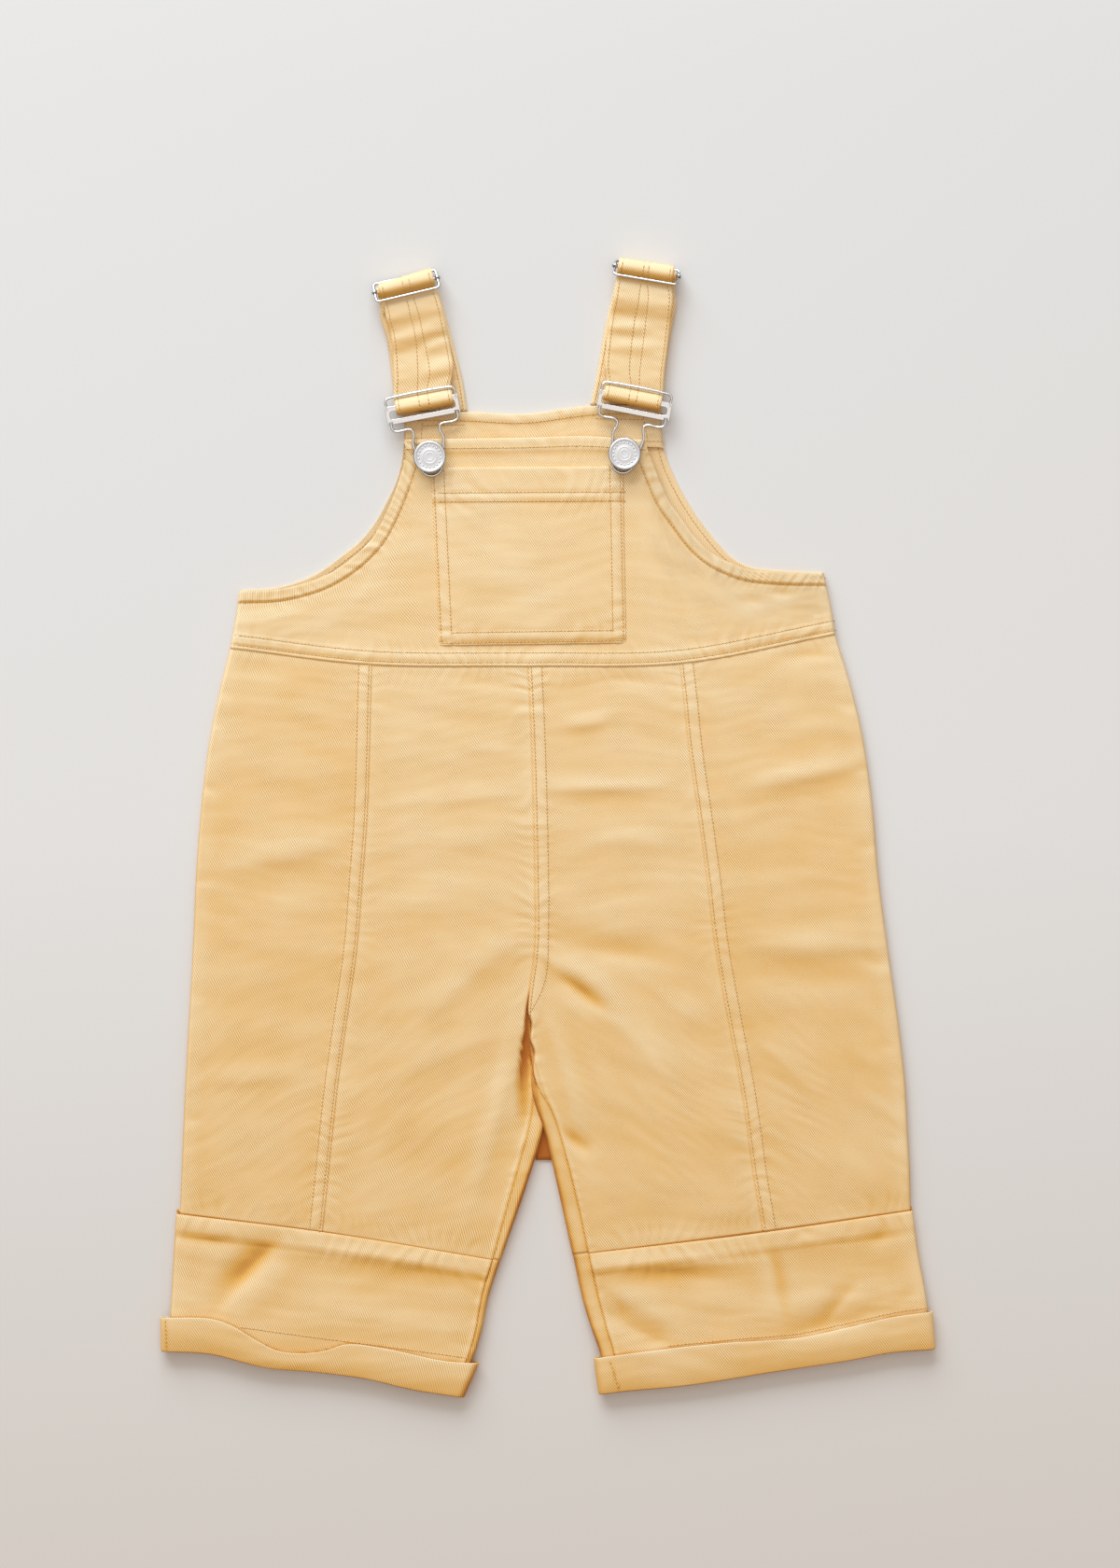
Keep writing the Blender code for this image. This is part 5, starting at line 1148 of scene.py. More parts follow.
def bib_grid(borders, columns, rows, side_sign):
    """A bib's grid; side_sign is +1 over the fold at the side seams and -1 under it."""
    curves = [smooth(run) for run in borders]
    fold = FOLD_STOPS - FOLD_STOPS[0]
    whole = [runs(curve)[-1] for curve in curves]
    first = np.concatenate([fold, np.linspace(fold[-1], whole[0], columns[0] + 1)[1:]])
    last = whole[2] - np.concatenate([fold, np.linspace(fold[-1], whole[2], columns[2] + 1)[1:]])[::-1]
    middle = np.linspace(0.0, whole[1], columns[1] + 1)[1:]
    top = np.vstack([at_lengths(*pair) for pair in zip(curves, (first, middle, last[1:]))])
    seam = runs(YOKE_SEAM)[-1]
    turns = (fold[-1], YOKE_CORNERS[0] * seam, YOKE_CORNERS[1] * seam, seam - fold[-1])
    counts = np.cumsum((0,) + columns)
    stops = np.interp(np.arange(counts[-1] + 1), counts, turns)
    stops = np.concatenate([fold[:-1], stops, (seam - fold[:-1])[::-1]])
    bottom = at_lengths(YOKE_SEAM, stops)
    sides = []
    down = crowded(90.0, rows + 1)
    for edge, column in ((LEFT_YOKE_SIDE, 0), (RIGHT_YOKE_SIDE, -1)):
        curve = smooth(edge)
        points = at_lengths(curve, down * runs(curve)[-1])
        points[0], points[-1] = top[column], bottom[column]
        sides.append(points)
    height = FOLD_RADIUS + side_sign * fold_height(np.minimum(stops, seam - stops) + FOLD_STOPS[0])
    plan = patch(top, bottom, *sides, down)
    return np.concatenate([plan, np.broadcast_to(height[:, None], (rows + 1, len(stops), 1))], axis=2)


front_bib = bib_grid((FRONT_ARMHOLE_LEFT, FRONT_BIB_TOP, FRONT_ARMHOLE_RIGHT), (96, 96, 96), 84, 1)
lay_creases(front_bib)
seam_relief(front_bib, YOKE_SEAM, YOKE_ROWS, width=9.0)
for edge in (FRONT_ARMHOLE_LEFT, FRONT_ARMHOLE_RIGHT):
    seam_relief(front_bib, smooth(edge), (HEM,), width=7.0, lift=0.5, pucker=0.22, beat=5.0)
seam_relief(front_bib, smooth(FRONT_BIB_TOP), (TOP_HEM,), width=8.0, lift=0.5)
rows = [parallel(YOKE_SEAM, row) for row in YOKE_ROWS]
rows += [parallel(smooth(edge), -HEM) for edge in (FRONT_ARMHOLE_LEFT, FRONT_ARMHOLE_RIGHT)]
rows.append(parallel(smooth(FRONT_BIB_TOP), -TOP_HEM))
sew_on(panel("front_bib_cloth", front_bib), rows)

back_bib = bib_grid((BACK_ARMHOLE_LEFT, BACK_BIB_TOP, BACK_ARMHOLE_RIGHT), (60, 48, 60), 50, -1)
rows = [parallel(YOKE_SEAM, row) for row in YOKE_ROWS]
rows += [parallel(smooth(edge), -HEM) for edge in (BACK_ARMHOLE_LEFT, BACK_ARMHOLE_RIGHT)]
rows += [parallel(smooth(BACK_BIB_TOP), -row) for row in BACK_TOP_ROWS]
for middle in STRAP_BOXES:
    left, right = middle - BOX_HALF_WIDTH, middle + BOX_HALF_WIDTH
    rows += [np.array(((side, BOX_LOW), (side, BOX_HIGH))) for side in (left, right)]
    rows += [np.array(((left, level), (right, level))) for level in (BOX_HIGH, BOX_LOW)]
back = panel("back_bib_cloth", back_bib, facing=-1.0)
sew_on(back, rows, 1.0)
stitched(back, [parallel(smooth(edge), -INSIDE_HEM) for edge in (BACK_ARMHOLE_LEFT, BACK_ARMHOLE_RIGHT)],
         name="stitches_back_bib_inside")


# ---------------------------------------------------------------------------
# Bib pocket. One square patch of twill with a deep top hem stitched twice,
# laid on the bib and stitched on round its sides and bottom.
# ---------------------------------------------------------------------------
POCKET = {
    "top_left": (-60.0, 184.6),
    "top_right": (38.4, 185.2),
    "bottom_left": (-55.7, 93.2),
    "bottom_right": (40.2, 94.6),
}
POCKET_HEM = (13.0, 17.6)  # the top hem's stitching, from the opening
POCKET_SIDES = (1.3, 6.6)  # the stitching that holds it on, from its edge

corner = {key: np.array(value) for key, value in POCKET.items()}
down, across = crowded(91.0, 80)[:, None, None], crowded(97.0, 84)[None, :, None]
left_edge = corner["top_left"] * (1 - down) + corner["bottom_left"] * down
right_edge = corner["top_right"] * (1 - down) + corner["bottom_right"] * down
plan = left_edge * (1 - across) + right_edge * across
height = LEG_TOP + 0.1 + CLOTH + lie(plan[..., 0], plan[..., 1])
pocket = np.concatenate([plan, height[..., None]], axis=2)
pocket_edges = {"top": pocket[0, :, :2].copy(), "left": pocket[:, 0, :2].copy(),
                "right": pocket[::-1, -1, :2].copy(), "bottom": pocket[-1, :, :2].copy()}
seam_relief(pocket, pocket_edges["top"], POCKET_HEM, width=19.0, lift=0.3, pucker=0.12)
for edge in ("left", "right", "bottom"):
    seam_relief(pocket, pocket_edges[edge], POCKET_SIDES, width=8.0, lift=0.15)
    pocket[..., 2] -= 0.6 * np.exp(-gaps(pocket, pocket_edges[edge]) / 4.0)
rows = [parallel(pocket_edges["top"], -row) for row in POCKET_HEM]
left, right, bottom = (pocket_edges[edge] for edge in ("left", "right", "bottom"))
for row in POCKET_SIDES:
    rows.append(between(parallel(left, row), 1.0, runs(left)[-1] - row))
    rows.append(between(parallel(right, row), row, runs(right)[-1] - 1.0))
    rows.append(between(parallel(bottom, row), row, runs(bottom)[-1] - row))
sew_on(panel("bib_pocket_cloth", pocket, wall=0.8), rows)


# ---------------------------------------------------------------------------
# Back facing. The inside of the back bib above the front one is faced with a
# strip of the same twill, stitched along its top and its lower edge.
# ---------------------------------------------------------------------------
FACING_DEPTH = 21.5
FACING_HEIGHT = 2.3
FACING_ROWS = (4.5, 18.5)
FACING_LEFT = ((-73.1, 203.0), (-73.8, 191.6))
FACING_RIGHT = ((58.2, 205.0), (59.6, 194.6))
FACING_ENDS = (                        # stitches that run in at either end
    ((-65.0, 199.0), (-64.6, 206.2)),
    ((-64.6, 206.2), (-44.0, 206.8)),
    ((51.6, 198.0), (49.3, 209.4)),
    ((49.3, 209.4), (26.0, 210.0)),
)

top_curve = smooth(BACK_BIB_TOP)
top = at_lengths(top_curve, np.linspace(0.0, runs(top_curve)[-1], 101)) - (0.0, 0.2)
top[0, 0] += 0.4
top[-1, 0] -= 0.4
bottom = top - (0.0, FACING_DEPTH)
bottom[0], bottom[-1] = FACING_LEFT[-1], FACING_RIGHT[-1]
down = crowded(FACING_DEPTH, 23)
sides = []
for end, rest in ((top[0], FACING_LEFT), (top[-1], FACING_RIGHT)):
    curve = smooth((end, *rest))
    sides.append(at_lengths(curve, down * runs(curve)[-1]))
plan = patch(top, bottom, *sides, down)
facing = np.concatenate([plan, np.full((*plan.shape[:2], 1), FACING_HEIGHT)], axis=2)
facing[..., 2] += np.clip(lie(plan[..., 0] * 1.7, plan[..., 1] * 1.7), -0.2, 0.6)
facing_line = facing[0, :, :2].copy()
seam_relief(facing, facing_line, FACING_ROWS[:1], width=6.0, lift=0.4, pucker=0.2, beat=9.0)
rows = [parallel(facing_line, -row) for row in FACING_ROWS] + [np.array(ends) for ends in FACING_ENDS]
sew_on(panel("back_facing_cloth", facing, wall=0.8), rows)


# ---------------------------------------------------------------------------
# Straps. A strip of twill folded in to its middle, pressed and stitched along
# both edges and down both sides of the middle. The front strap comes over the
# slider's bar, runs down and over the buckle's bar and back up beneath, where
# it is sewn round the slider's own bar. The back strap lies under both.
# ---------------------------------------------------------------------------
STRAP = 1.6                # thickness of the folded strap
EDGE_STITCH = 1.9          # from the strap's edge
MIDDLE_STITCH = 2.3        # to either side of its middle
# A strap's cross lines between its slider and its lower end: left x and y, right x and y, height.
FRONT_STRAPS = {
    "left": (
        (-83.6, 265.0, -55.8, 271.6, 6.5),
        (-82.6, 260.0, -54.0, 265.6, 6.5),
        (-80.5, 252.0, -52.2, 257.0, 5.1),
        (-79.3, 240.7, -49.8, 245.5, 4.7),
        (-78.9, 229.7, -48.4, 235.0, 4.7),
    ),
    "right": (
        (34.4, 276.6, 64.2, 271.8, 6.5),
        (33.6, 271.2, 63.9, 266.4, 6.5),
        (32.0, 263.0, 63.0, 258.2, 5.1),
        (30.1, 248.9, 61.3, 243.6, 4.7),
        (29.2, 237.0, 59.9, 232.0, 4.7),
    ),
}
STRAP_RETURNS = {
    "left": (
        (-86.0, 263.0, -58.0, 269.6, 2.7),
        (-82.4, 251.0, -53.4, 256.4, 2.7),
        (-79.4, 238.0, -49.8, 243.0, 2.7),
        (-79.0, 228.5, -48.8, 233.6, 2.7),
    ),
    "right": (
        (36.4, 274.6, 66.0, 270.0, 2.7),
        (33.2, 262.0, 63.8, 257.0, 2.7),
        (30.3, 247.0, 61.3, 242.0, 2.7),
        (29.4, 236.0, 60.1, 231.0, 2.7),
    ),
}
BACK_STRAPS = {
    "left": (
        (-85.6, 264.7, -55.0, 271.6, 0.8),
        (-83.4, 255.1, -51.2, 259.0, 0.8),
        (-81.5, 243.1, -47.4, 244.1, 0.8),
        (-79.8, 228.7, -43.8, 229.2, 0.8),
        (-78.0, 214.0, -41.4, 214.0, 0.8),
    ),
    "right": (
        (33.2, 272.9, 65.6, 269.0, 0.8),
        (29.6, 257.6, 63.5, 255.6, 0.8),
        (27.0, 243.1, 61.5, 241.7, 0.8),
        (24.6, 229.7, 59.9, 228.8, 0.8),
        (21.9, 217.2, 58.8, 217.4, 0.8),
    ),
}
# Side views of the straps, (along, height) from a slider's middle and from a buckle's lower edge.
OVER_SLIDER = ((4.1, 6.1), (2.9, 8.5), (0.5, 9.5), (-1.6, 9.2), (-3.4, 7.7), (-5.3, 6.5))
FOLD_TO_BACK = ((4.2, 5.4), (4.3, 4.1), (4.0, 2.6), (3.0, 1.2), (1.2, 0.85), (-0.8, 0.85), (-3.4, 0.85))
ROUND_SLIDER_BAR = ((-11.5, 4.6), (-6.0, 4.6), (-2.4, 5.5), (-1.3, 6.9), (0.0, 7.5), (1.4, 6.9), (1.9, 5.6),
                    (1.4, 4.3), (0.0, 3.6), (-2.6, 3.0), (-6.5, 2.7))
OVER_BUCKLE_BAR = ((14.2, 4.6), (12.3, 5.3), (10.7, 7.2), (8.4, 8.2), (6.0, 8.0), (5.0, 6.8), (5.0, 5.6),
                   (6.1, 4.8))
UNDER_BUCKLE_BAR = ((13.6, 2.7), (11.4, 3.1), (9.0, 4.0), (7.3, 4.6))
HALF_AT_SLIDER, HALF_AT_BUCKLE = 14.2, 14.9           # half the strap's width there
# shift and loose move the front strap and its return aside; reach and top are the slider's lower and
# upper half, and tilt is how far askew the strap's fold lies.
SLIDERS = {
    "left": {"x": -72.7, "y": 278.1, "turn": 13.4, "shift": 0.4, "loose": -1.0,
             "reach": 5.3, "top": 4.7, "tilt": 0.8},
    "right": {"x": 50.8, "y": 285.3, "turn": -9.5, "shift": -0.6, "loose": 1.1,
              "reach": 4.7, "top": 3.4, "tilt": 0.2},
}
BUCKLES = {
    "left": {"x": -63.3, "y": 209.5, "turn": 10.75, "shift": 1.5},
    "right": {"x": 43.5, "y": 211.8, "turn": -11.1, "shift": -1.5},
}
# Creases across the front straps: distance from the strap's start, middle and reach as shares of
# its width, width along the strap and depth.
STRAP_CREASES = {
    "left": (
        (33.0, 0.5, 0.9, 5.0, 0.8),
        (41.0, 0.78, 0.3, 3.0, 0.5),
        (53.0, 0.8, 0.4, 3.5, 0.4),
    ),
    "right": (
        (37.0, 0.3, 0.45, 4.0, 0.6),
        (46.0, 0.4, 0.5, 4.0, 0.45),
        (64.0, 0.6, 0.5, 4.0, 0.25),
    ),
}
STRAP_STEP = 1.25          # between a strap's cross rows
STRAP_POINTS = 26          # across each of its sides
EDGE_GROOVE = 0.14         # depth of the groove at the edge's stitches
MIDDLE_GROOVE = 0.13


def turned(frame, across, along):
    """A point given in a slider's or buckle's own frame, in garment millimetres."""
    turn = math.radians(frame["turn"])
    return (frame["x"] + across * math.cos(turn) - along * math.sin(turn),
            frame["y"] + across * math.sin(turn) + along * math.cos(turn))


def path_rows(frame, path, half, shift, tilt=0.0):
    """Rows of a strap's table from its side view at a slider or buckle; its fold may lie a little askew."""
    rows = []
    for along, height in path:
        askew = tilt * max(along, 0.0) / 4.0
        left, right = turned(frame, shift - half, along - askew), turned(frame, shift + half, along + askew)
        rows.append((*left, *right, height))
    return rows


def strap(name, rows, creases=()):
    """A folded strap through its cross lines, with rounded edges and a groove at each line of stitches."""
    rows = np.array(rows)
    ends = smooth(rows[:, (0, 1, 4, 2, 3, 4)], steps=16)
    middle = (ends[:, :3] + ends[:, 3:]) / 2
    along = np.concatenate([[0.0], np.cumsum(np.linalg.norm(np.diff(middle, axis=0), axis=1))])
    stops = np.linspace(0.0, along[-1], int(along[-1] / STRAP_STEP) + 1)
    ends = np.stack([np.interp(stops, along, column) for column in ends.T], axis=1)
    ends[:, (2, 5)] = np.maximum(ends[:, (2, 5)], STRAP / 2)
    share = np.linspace(0.0, 1.0, STRAP_POINTS)
    share = 0.5 - 0.5 * np.sign(0.5 - share) * np.abs(1 - 2 * share) ** 0.9
    sheet = ends[:, None, :3] * (1 - share)[None, :, None] + ends[:, None, 3:] * share[None, :, None]
    forward = np.gradient(sheet, axis=0)
    side = ends[:, 3:] - ends[:, :3]
    width = np.linalg.norm(side, axis=1)
    normal = np.cross(np.broadcast_to(side[:, None], forward.shape), forward)
    normal /= np.linalg.norm(normal, axis=2)[..., None]
    inward = np.minimum(share, 1 - share) * width[:, None]
    half = STRAP / 2 * np.sqrt(1 - np.clip(1 - inward / 0.9, 0.0, 1.0) ** 2 * 0.85)
    half = half - EDGE_GROOVE * np.exp(-((inward - EDGE_STITCH) / 0.5) ** 2)
    half -= MIDDLE_GROOVE * np.exp(-((np.abs(share - 0.5) * width[:, None] - MIDDLE_STITCH) / 0.5) ** 2)
    half += 0.05 * np.sin(stops * 2 * math.pi / 5.3)[:, None] * np.exp(-((inward - 4) / 3) ** 2)
    bend = np.zeros(half.shape)
    for where, middle_share, reach, wide, deep in creases:
        across = np.exp(-(np.abs(share - middle_share) / (reach * 0.75)) ** 3)[None, :]
        offset = (stops - where)[:, None] + 3.0 * (share - 0.5)[None, :]
        trough = np.exp(-(offset / wide) ** 2)
        lips = [0.5 * np.exp(-((offset + away * wide) / wide) ** 2) for away in (1.3, -1.3)]
        bend += deep * across * (sum(lips) - trough)
    upper = sheet + normal * (half + bend)[..., None]
    lower = sheet - normal * (half - bend)[..., None]
    grid = np.concatenate([upper, lower[:, ::-1]], axis=1)
    made = panel(name + "_cloth", grid, wall=0.0, ring=True, middle=STRAP_POINTS // 2)
    mesh = bmesh.new()
    mesh.from_mesh(made.data)
    bmesh.ops.holes_fill(mesh, edges=[edge for edge in mesh.edges if edge.is_boundary])
    bmesh.ops.recalc_face_normals(mesh, faces=mesh.faces)
    mesh.to_mesh(made.data)
    mesh.free()
    made.data.shade_smooth()
    rows = []
    near_middle = width.mean() / 2 - MIDDLE_STITCH
    for inward in (EDGE_STITCH, -EDGE_STITCH, near_middle, -near_middle):
        place = inward / width if inward > 0 else 1 + inward / width
        rows.append(ends[:, :2] * (1 - place)[:, None] + ends[:, 3:5] * place[:, None])
    flat, _ = extent(sheet)
    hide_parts(name)
    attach(made, "root")
    return made, rows, flat


for hand in ("left", "right"):
    slider, buckle = SLIDERS[hand], BUCKLES[hand]
    rows = path_rows(slider, OVER_SLIDER, HALF_AT_SLIDER, slider["shift"], slider["tilt"])
    rows += FRONT_STRAPS[hand]
    rows += path_rows(buckle, OVER_BUCKLE_BAR, HALF_AT_BUCKLE, buckle["shift"])
    front, lines, flat = strap("front_strap_" + hand, rows, STRAP_CREASES[hand])
    stitched(front, lines)
    rows = path_rows(slider, ROUND_SLIDER_BAR, HALF_AT_SLIDER, slider["loose"])
    rows += STRAP_RETURNS[hand]
    rows += path_rows(buckle, UNDER_BUCKLE_BAR, HALF_AT_BUCKLE, buckle["shift"])
    inner, _, flat = strap("strap_return_" + hand, rows)
    rows = path_rows(slider, FOLD_TO_BACK, HALF_AT_SLIDER, slider["shift"], slider["tilt"])
    rows += BACK_STRAPS[hand]
    back, lines, flat = strap("back_strap_" + hand, rows)
    threads = [stitched(back, lines), stitched(back, lines, 1.0, "stitches_back_strap_under_" + hand)]


# ---------------------------------------------------------------------------
# Sliders. A frame of nickel-plated steel wire, butted on its upper side, with
# a centre bar whose ends are curled round the frame's sides.
# ---------------------------------------------------------------------------
WIRE_RADIUS = 0.64
CURL_WIRE_RADIUS = 0.6
BAR_RADIUS = 0.65
SLIDER_CORNER = 2.0
CORNER_STEPS = 6
SLIDER_HALF_WIDTH = 16.5
SLIDER_BAR_Z = 5.6
SLIDER_DROP = 3.2          # height from the slider's middle to either cross wire
NICKEL_LIGHT = "F2F3F5"
SATIN_NICKEL = "EAEBEE"


def plated(name, colour, roughness, grit):
    """Nickel plate on steel, with painted light: brighter on faces that look up and greyer down its sides,
    and fine rub marks.
    """
    made, tree, shader = new_material(name, Metallic=1.0)
    # Painted light: the plate's colour is painted brighter where a face looks up and greyer on its sides.
    normal = node(tree, "ShaderNodeNewGeometry").outputs["Normal"]
    lean = node(tree, "ShaderNodeSeparateXYZ", links=[(normal, "Vector")]).outputs["Z"]
    painted_top_light = ranged(tree, lean, From_Min=0.4, From_Max=0.95, To_Min=0.3)
    paled = node(tree, "ShaderNodeHueSaturation", links=[(painted_top_light, "Value")], Color=linear(colour))
    tree.links.new(paled.outputs["Color"], shader.inputs["Base Color"])
    place = node(tree, "ShaderNodeTexCoord").outputs["Object"]
    rubbed = noise(tree, place, grit, 3.0)
    gloss = ranged(tree, rubbed, To_Min=roughness * 0.8, To_Max=roughness * 1.4)
    tree.links.new(gloss, shader.inputs["Roughness"])
    relief = node(tree, "ShaderNodeBump", links=[(rubbed, "Height")], Strength=0.25, Distance=0.05 * MM)
    tree.links.new(relief.outputs["Normal"], shader.inputs["Normal"])
    return made


NICKEL = plated("bright_nickel_plate", NICKEL_LIGHT, 0.18, 900.0)
SATIN = plated("satin_nickel_plate", SATIN_NICKEL, 0.42, 1600.0)


def solid(name, mesh, surface):
    """An object for a finished mesh, smooth except at sharp edges."""
    mesh.materials.clear()
    mesh.materials.append(surface)
    mesh.shade_smooth()
    mesh.set_sharp_from_angle(angle=math.radians(40.0))
    return added(name, mesh)


def evaluated(data, frame, height=0.0):
    """The mesh of a curve or mesh in a slider's, buckle's or button's frame, placed on the garment."""
    mesh = baked(added("holder", data))
    spot = Vector((frame["x"] - CENTRE[0], frame["y"] - CENTRE[1], height)) * MM
    mesh.transform(Matrix.Translation(spot) @ Matrix.Rotation(math.radians(frame["turn"]), 4, "Z"))
    return mesh


def add_spline(curve, points, closed):
    """Add straight runs through points in mm to a curve."""
    spline = curve.splines.new("POLY")
    spline.points.add(len(points) - 1)
    for target, point in zip(spline.points, points):
        target.co = (*(Vector(point) * MM), 1.0)
    spline.use_cyclic_u = closed


def wire(points, closed, radius=WIRE_RADIUS):
    """A round wire through points in mm."""
    curve = bpy.data.curves.new("wire", "CURVE")
    curve.dimensions = "3D"
    curve.bevel_depth = radius * MM
    curve.bevel_resolution = 4
    curve.use_fill_caps = True
    add_spline(curve, points, closed)
    return curve


def round_loop(corners, radius):
    """Outline through corner points, rounded by quadratic bends."""
    corners = [Vector(point) for point in corners]
    points = []
    for index, point in enumerate(corners):
        before = (corners[index - 1] - point).normalized()
        after = (corners[(index + 1) % len(corners)] - point).normalized()
        start, end = point + before * radius, point + after * radius
        for step in range(CORNER_STEPS + 1):
            share = step / CORNER_STEPS
            points.append(start * (1 - share) ** 2 + point * 2 * share * (1 - share) + end * share ** 2)
    return points


def joined(meshes):
    """One mesh from several."""
    model = bmesh.new()
    for mesh in meshes:
        model.from_mesh(mesh)
        bpy.data.meshes.remove(mesh)
    bmesh.ops.remove_doubles(model, verts=model.verts, dist=0.01 * MM)
    mesh = bpy.data.meshes.new("joined")
    model.to_mesh(mesh)
    model.free()
    return mesh


for hand, slider in SLIDERS.items():
    low, high = SLIDER_BAR_Z + SLIDER_DROP, SLIDER_BAR_Z - SLIDER_DROP
    half, reach, top = SLIDER_HALF_WIDTH, slider["reach"], slider["top"]
    corners = ((-half, -reach, low), (half, -reach, low), (half, top, high), (-half, top, high))
    bar = ((-half, 0.0, SLIDER_BAR_Z), (half, 0.0, SLIDER_BAR_Z))
    parts = [evaluated(wire(round_loop(corners, SLIDER_CORNER), True), slider)]
    parts.append(evaluated(wire(bar, False, BAR_RADIUS), slider))
    slope = math.atan2(SLIDER_DROP, reach)
    for end in (-half, half):
        curl = []
        for turn in np.radians(np.arange(0.0, 360.0, 24.0)):
            out, up = math.cos(turn), math.sin(turn)
            curl.append((end + out, up * math.sin(slope), SLIDER_BAR_Z + up * math.cos(slope)))
        parts.append(evaluated(wire(curl, True, CURL_WIRE_RADIUS), slider))
    made = solid("slider_" + hand + "_wire", joined(parts), NICKEL)
    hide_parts("slider_" + hand)
    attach(made, "root")


# ---------------------------------------------------------------------------
# Buckles. A plate is pressed from nickel-plated steel with one window for the
# strap and a socket at each lower corner for the hook. A wire bow is clenched
# on the posts above and keeps the strap flat.
# ---------------------------------------------------------------------------
PLATE = 1.0
PLATE_Z = 6.4
PLATE_HALF_WIDTH = 19.0
PLATE_HEIGHT = 9.4
PLATE_RAIL = 2.6
PLATE_POST = 2.0
PLATE_BEVEL = 0.22
PLATE_CORNER, WINDOW_CORNER = 0.7, 1.7
NOTCH_X, NOTCH_WIDTH, NOTCH_DEPTH = 17.2, 2.0, 1.3
# The right half of the wire bow: (across, along, height).
BOW = ((18.0, 7.1, 6.4), (18.0, 10.4, 6.5), (18.0, 11.9, 6.9), (17.2, 13.2, 6.9), (15.6, 13.7, 6.9))

for hand, buckle in BUCKLES.items():
    half, far, near = PLATE_HALF_WIDTH, NOTCH_X + NOTCH_WIDTH / 2, NOTCH_X - NOTCH_WIDTH / 2
    inner, rail = half - PLATE_POST, PLATE_HEIGHT - PLATE_RAIL
    left_notch = [(-far, 0.0), (-far, NOTCH_DEPTH), (-near, NOTCH_DEPTH), (-near, 0.0)]
    right_notch = [(-x, y) for x, y in reversed(left_notch)]
    sides = ((half, 0.0, 0.0), (half, PLATE_HEIGHT, 0.0), (-half, PLATE_HEIGHT, 0.0), (-half, 0.0, 0.0))
    outline = [(x, y, 0.0) for x, y in left_notch + right_notch] + round_loop(sides, PLATE_CORNER)
    opening = ((-inner, PLATE_RAIL, 0.0), (inner, PLATE_RAIL, 0.0), (inner, rail, 0.0), (-inner, rail, 0.0))
    plate = bpy.data.curves.new("plate", "CURVE")
    plate.dimensions = "2D"
    plate.fill_mode = "BOTH"
    plate.extrude = (PLATE / 2 - PLATE_BEVEL) * MM
    plate.bevel_depth = PLATE_BEVEL * MM
    plate.bevel_resolution = 2
    plate.offset = -PLATE_BEVEL * MM
    for points in (outline, round_loop(opening, WINDOW_CORNER)):
        add_spline(plate, points, True)
    bow = [(-across, along, height) for across, along, height in BOW] + list(reversed(BOW))
    bow = wire(smooth(bow, steps=4), False)
    parts = [evaluated(plate, buckle, PLATE_Z), evaluated(bow, buckle)]
    made = solid("buckle_" + hand + "_plate", joined(parts), NICKEL)
    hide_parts("buckle_" + hand)
    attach(made, "root")


# ---------------------------------------------------------------------------
# Hooks. One length of the same wire hangs from the buckle's sockets, steps in
# under the plate and closes to a loop that is slipped over the button.
# ---------------------------------------------------------------------------
# The right half of the hook's wire, down to its loop: (across, along).
HOOK_TOP = ((17.2, 1.0), (17.2, -1.4), (16.6, -3.0), (14.6, -3.9), (8.6, -3.9), (7.0, -5.0), (6.9, -7.4),
            (8.0, -11.0))
HOOK_LOOP_DROP = 4.2       # from the button's middle down to the loop's
HOOK_LOOP_RADIUS = 5.4
HOOK_Z = 6.6
BUTTONS = {
    "left": {"x": -60.4, "y": 189.8, "turn": 12.0},
    "right": {"x": 39.3, "y": 191.3, "turn": -8.0},
}

for hand, buckle in BUCKLES.items():
    turn = math.radians(buckle["turn"])
    east, north = BUTTONS[hand]["x"] - buckle["x"], BUTTONS[hand]["y"] - buckle["y"]
    middle_x = east * math.cos(turn) + north * math.sin(turn)
    middle_y = north * math.cos(turn) - east * math.sin(turn) - HOOK_LOOP_DROP
    right = [(across, along, HOOK_Z - 0.2) for across, along in HOOK_TOP]
    left = [(-across, along, height) for across, along, height in reversed(right)]
    loop = []
    for spread in np.radians(np.arange(-10.0, 191.0, 20.0)):
        out, down = HOOK_LOOP_RADIUS * math.cos(spread), HOOK_LOOP_RADIUS * math.sin(spread)
        loop.append((middle_x + out, middle_y - down, HOOK_Z))
    bow = wire(smooth(right + loop + left, steps=5), False)
    made = solid("hook_" + hand + "_wire", evaluated(bow, buckle), NICKEL)
    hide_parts("hook_" + hand)
    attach(made, "root")


# ---------------------------------------------------------------------------
# Buttons. A jeans button: a satin nickel cap struck with a plain ring, a dish
# and a circle of small beads, on a shank that is riveted through the bib.
# ---------------------------------------------------------------------------
# Half a section through the button, (radius, height), from the middle of its top to its foot.
BUTTON_PROFILE = (
    (0.0, 10.74), (1.7, 10.72), (2.0, 10.8), (2.3, 10.8), (2.6, 10.7), (3.0, 10.7), (3.3, 10.82),
    (3.6, 10.82), (3.9, 10.7), (6.5, 10.68), (6.8, 10.8), (7.1, 11.0), (7.5, 11.08), (7.9, 10.95),
    (8.2, 10.6), (8.3, 10.2), (8.2, 9.5), (7.8, 9.0), (7.2, 8.8), (2.6, 8.6), (2.1, 8.2),
    (2.1, 5.6), (2.4, 5.1), (3.2, 5.0), (3.2, 4.7), (0.0, 4.7),
)
BEADS = 18
BEAD_RING = 5.7
BEAD_HEIGHT = 10.64
BEAD_RADIUS = 0.5

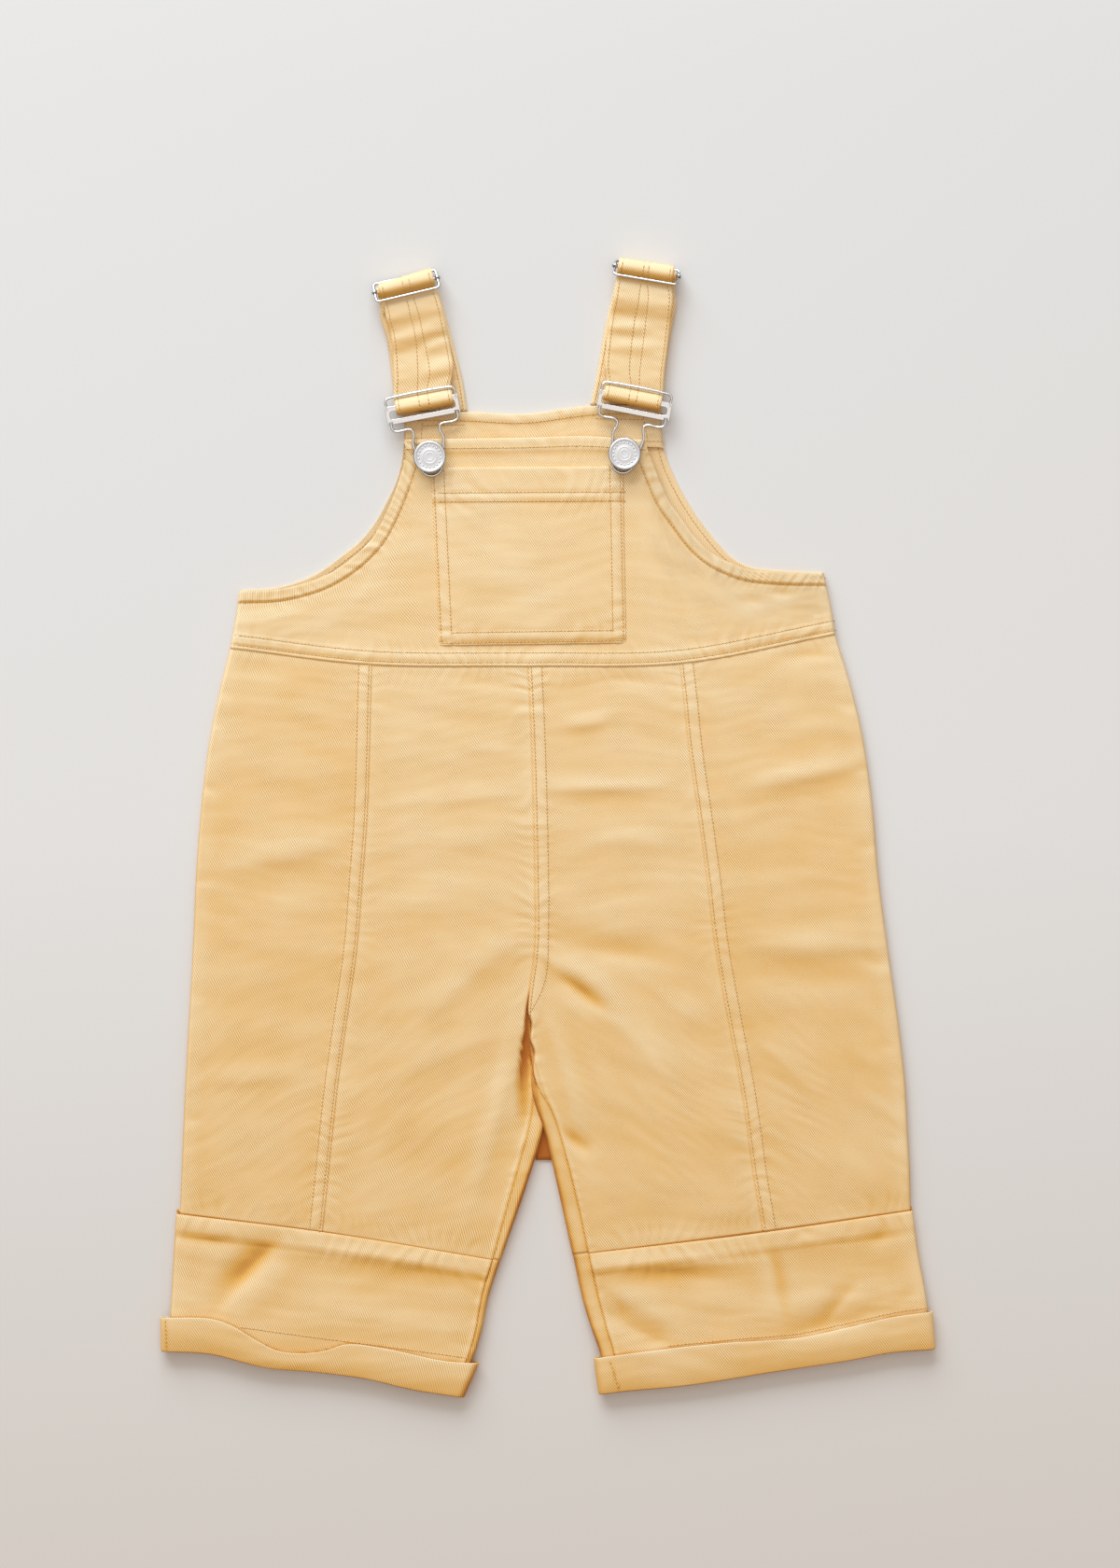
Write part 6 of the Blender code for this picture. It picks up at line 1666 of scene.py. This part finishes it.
for hand, spot in BUTTONS.items():
    model = bmesh.new()
    corners = [model.verts.new((radius * MM, 0.0, height * MM)) for radius, height in BUTTON_PROFILE]
    edges = [model.edges.new(pair) for pair in zip(corners, corners[1:])]
    bmesh.ops.spin(model, geom=corners + edges, angle=2 * math.pi, steps=56, axis=(0, 0, 1), use_merge=True)
    bmesh.ops.remove_doubles(model, verts=model.verts, dist=0.005 * MM)
    bmesh.ops.recalc_face_normals(model, faces=model.faces)
    for bead in range(BEADS):
        angle = 2 * math.pi * bead / BEADS
        spread = (BEAD_RING * math.cos(angle), BEAD_RING * math.sin(angle), BEAD_HEIGHT)
        place = Matrix.Translation(Vector(spread) * MM)
        bmesh.ops.create_icosphere(model, subdivisions=2, radius=BEAD_RADIUS * MM,
                                   matrix=place @ Matrix.Diagonal((1.0, 1.0, 0.6, 1.0)))
    mesh = bpy.data.meshes.new("button")
    model.to_mesh(mesh)
    model.free()
    made = solid("button_" + hand + "_cap", evaluated(mesh, spot), SATIN)
    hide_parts("button_" + hand)
    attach(made, "root")


# ---------------------------------------------------------------------------
# Floor and light. A pale warm grey paper sweep under a big soft window up to
# the left, with the rest of a white room filling the shadows.
# ---------------------------------------------------------------------------
FLOOR_HALF = 20.0          # in metres, as all the lengths in this section
FLOOR_Z = -0.0001
FLOOR_TINTS = ("DFD7D0", "E6E2DF", "DFDBD8")          # below, beside and above the garment: painted brightest beside it, a little deeper above and deeper and warmer below, for the fall of the window's light
# Painted light: the paper's colour runs in a gradient, brightest beside the garment, as the window's light
# falls off.
paper, tree, shader = new_material("pale_paper", Roughness=0.9)
place = node(tree, "ShaderNodeTexCoord").outputs["Object"]
along = node(tree, "ShaderNodeSeparateXYZ", links=[(place, "Vector")]).outputs["Y"]
tint = node(tree, "ShaderNodeValToRGB", links=[(ranged(tree, along, From_Min=-0.38, From_Max=0.38), "Fac")])
ramp = tint.color_ramp.elements
ramp[0].color, ramp[1].color = linear(FLOOR_TINTS[0]), linear(FLOOR_TINTS[2])
ramp.new(0.5).color = linear(FLOOR_TINTS[1])
tree.links.new(tint.outputs["Color"], shader.inputs["Base Color"])
ground = bpy.data.meshes.new("floor")
corners = [(x * FLOOR_HALF, y * FLOOR_HALF, FLOOR_Z) for x, y in ((-1, -1), (1, -1), (1, 1), (-1, 1))]
ground.from_pydata(corners, [], [(0, 1, 2, 3)])
ground.materials.append(paper)
floor = added("floor", ground)

# A cool window, and a warmer room round it.
window = bpy.data.lights.new("window", "AREA")
window.shape = "RECTANGLE"
window.size, window.size_y = 3.0, 1.8
window.energy = 118.0
window.color = (0.79, 0.92, 1.02)
window_holder = added("window", window)
window_holder.location = (-0.75, 2.7, 1.35)
downward = Vector((0.0, 0.1, 0.0)) - window_holder.location
window_holder.rotation_euler = downward.to_track_quat("-Z", "Y").to_euler()

room = bpy.data.worlds.new("white_room")
room.use_nodes = True
tree = room.node_tree
heading = node(tree, "ShaderNodeTexCoord").outputs["Generated"]
upward = node(tree, "ShaderNodeSeparateXYZ", links=[(heading, "Vector")]).outputs["Z"]
# A pale panel overhead in a dimmer room gives the metal its white faces and grey sides.
overhead = node(tree, "ShaderNodeMath", {"operation": "POWER", "use_clamp": True}, [(upward, 0)], _1=2.5)
walls = ranged(tree, overhead.outputs[0], To_Min=0.32, To_Max=0.95)
tree.links.new(walls, tree.nodes["Background"].inputs["Strength"])
tree.nodes["Background"].inputs["Color"].default_value = (1.0, 0.92, 0.845, 1.0)
bpy.context.scene.world = room
bpy.context.scene.view_settings.view_transform = "Standard"
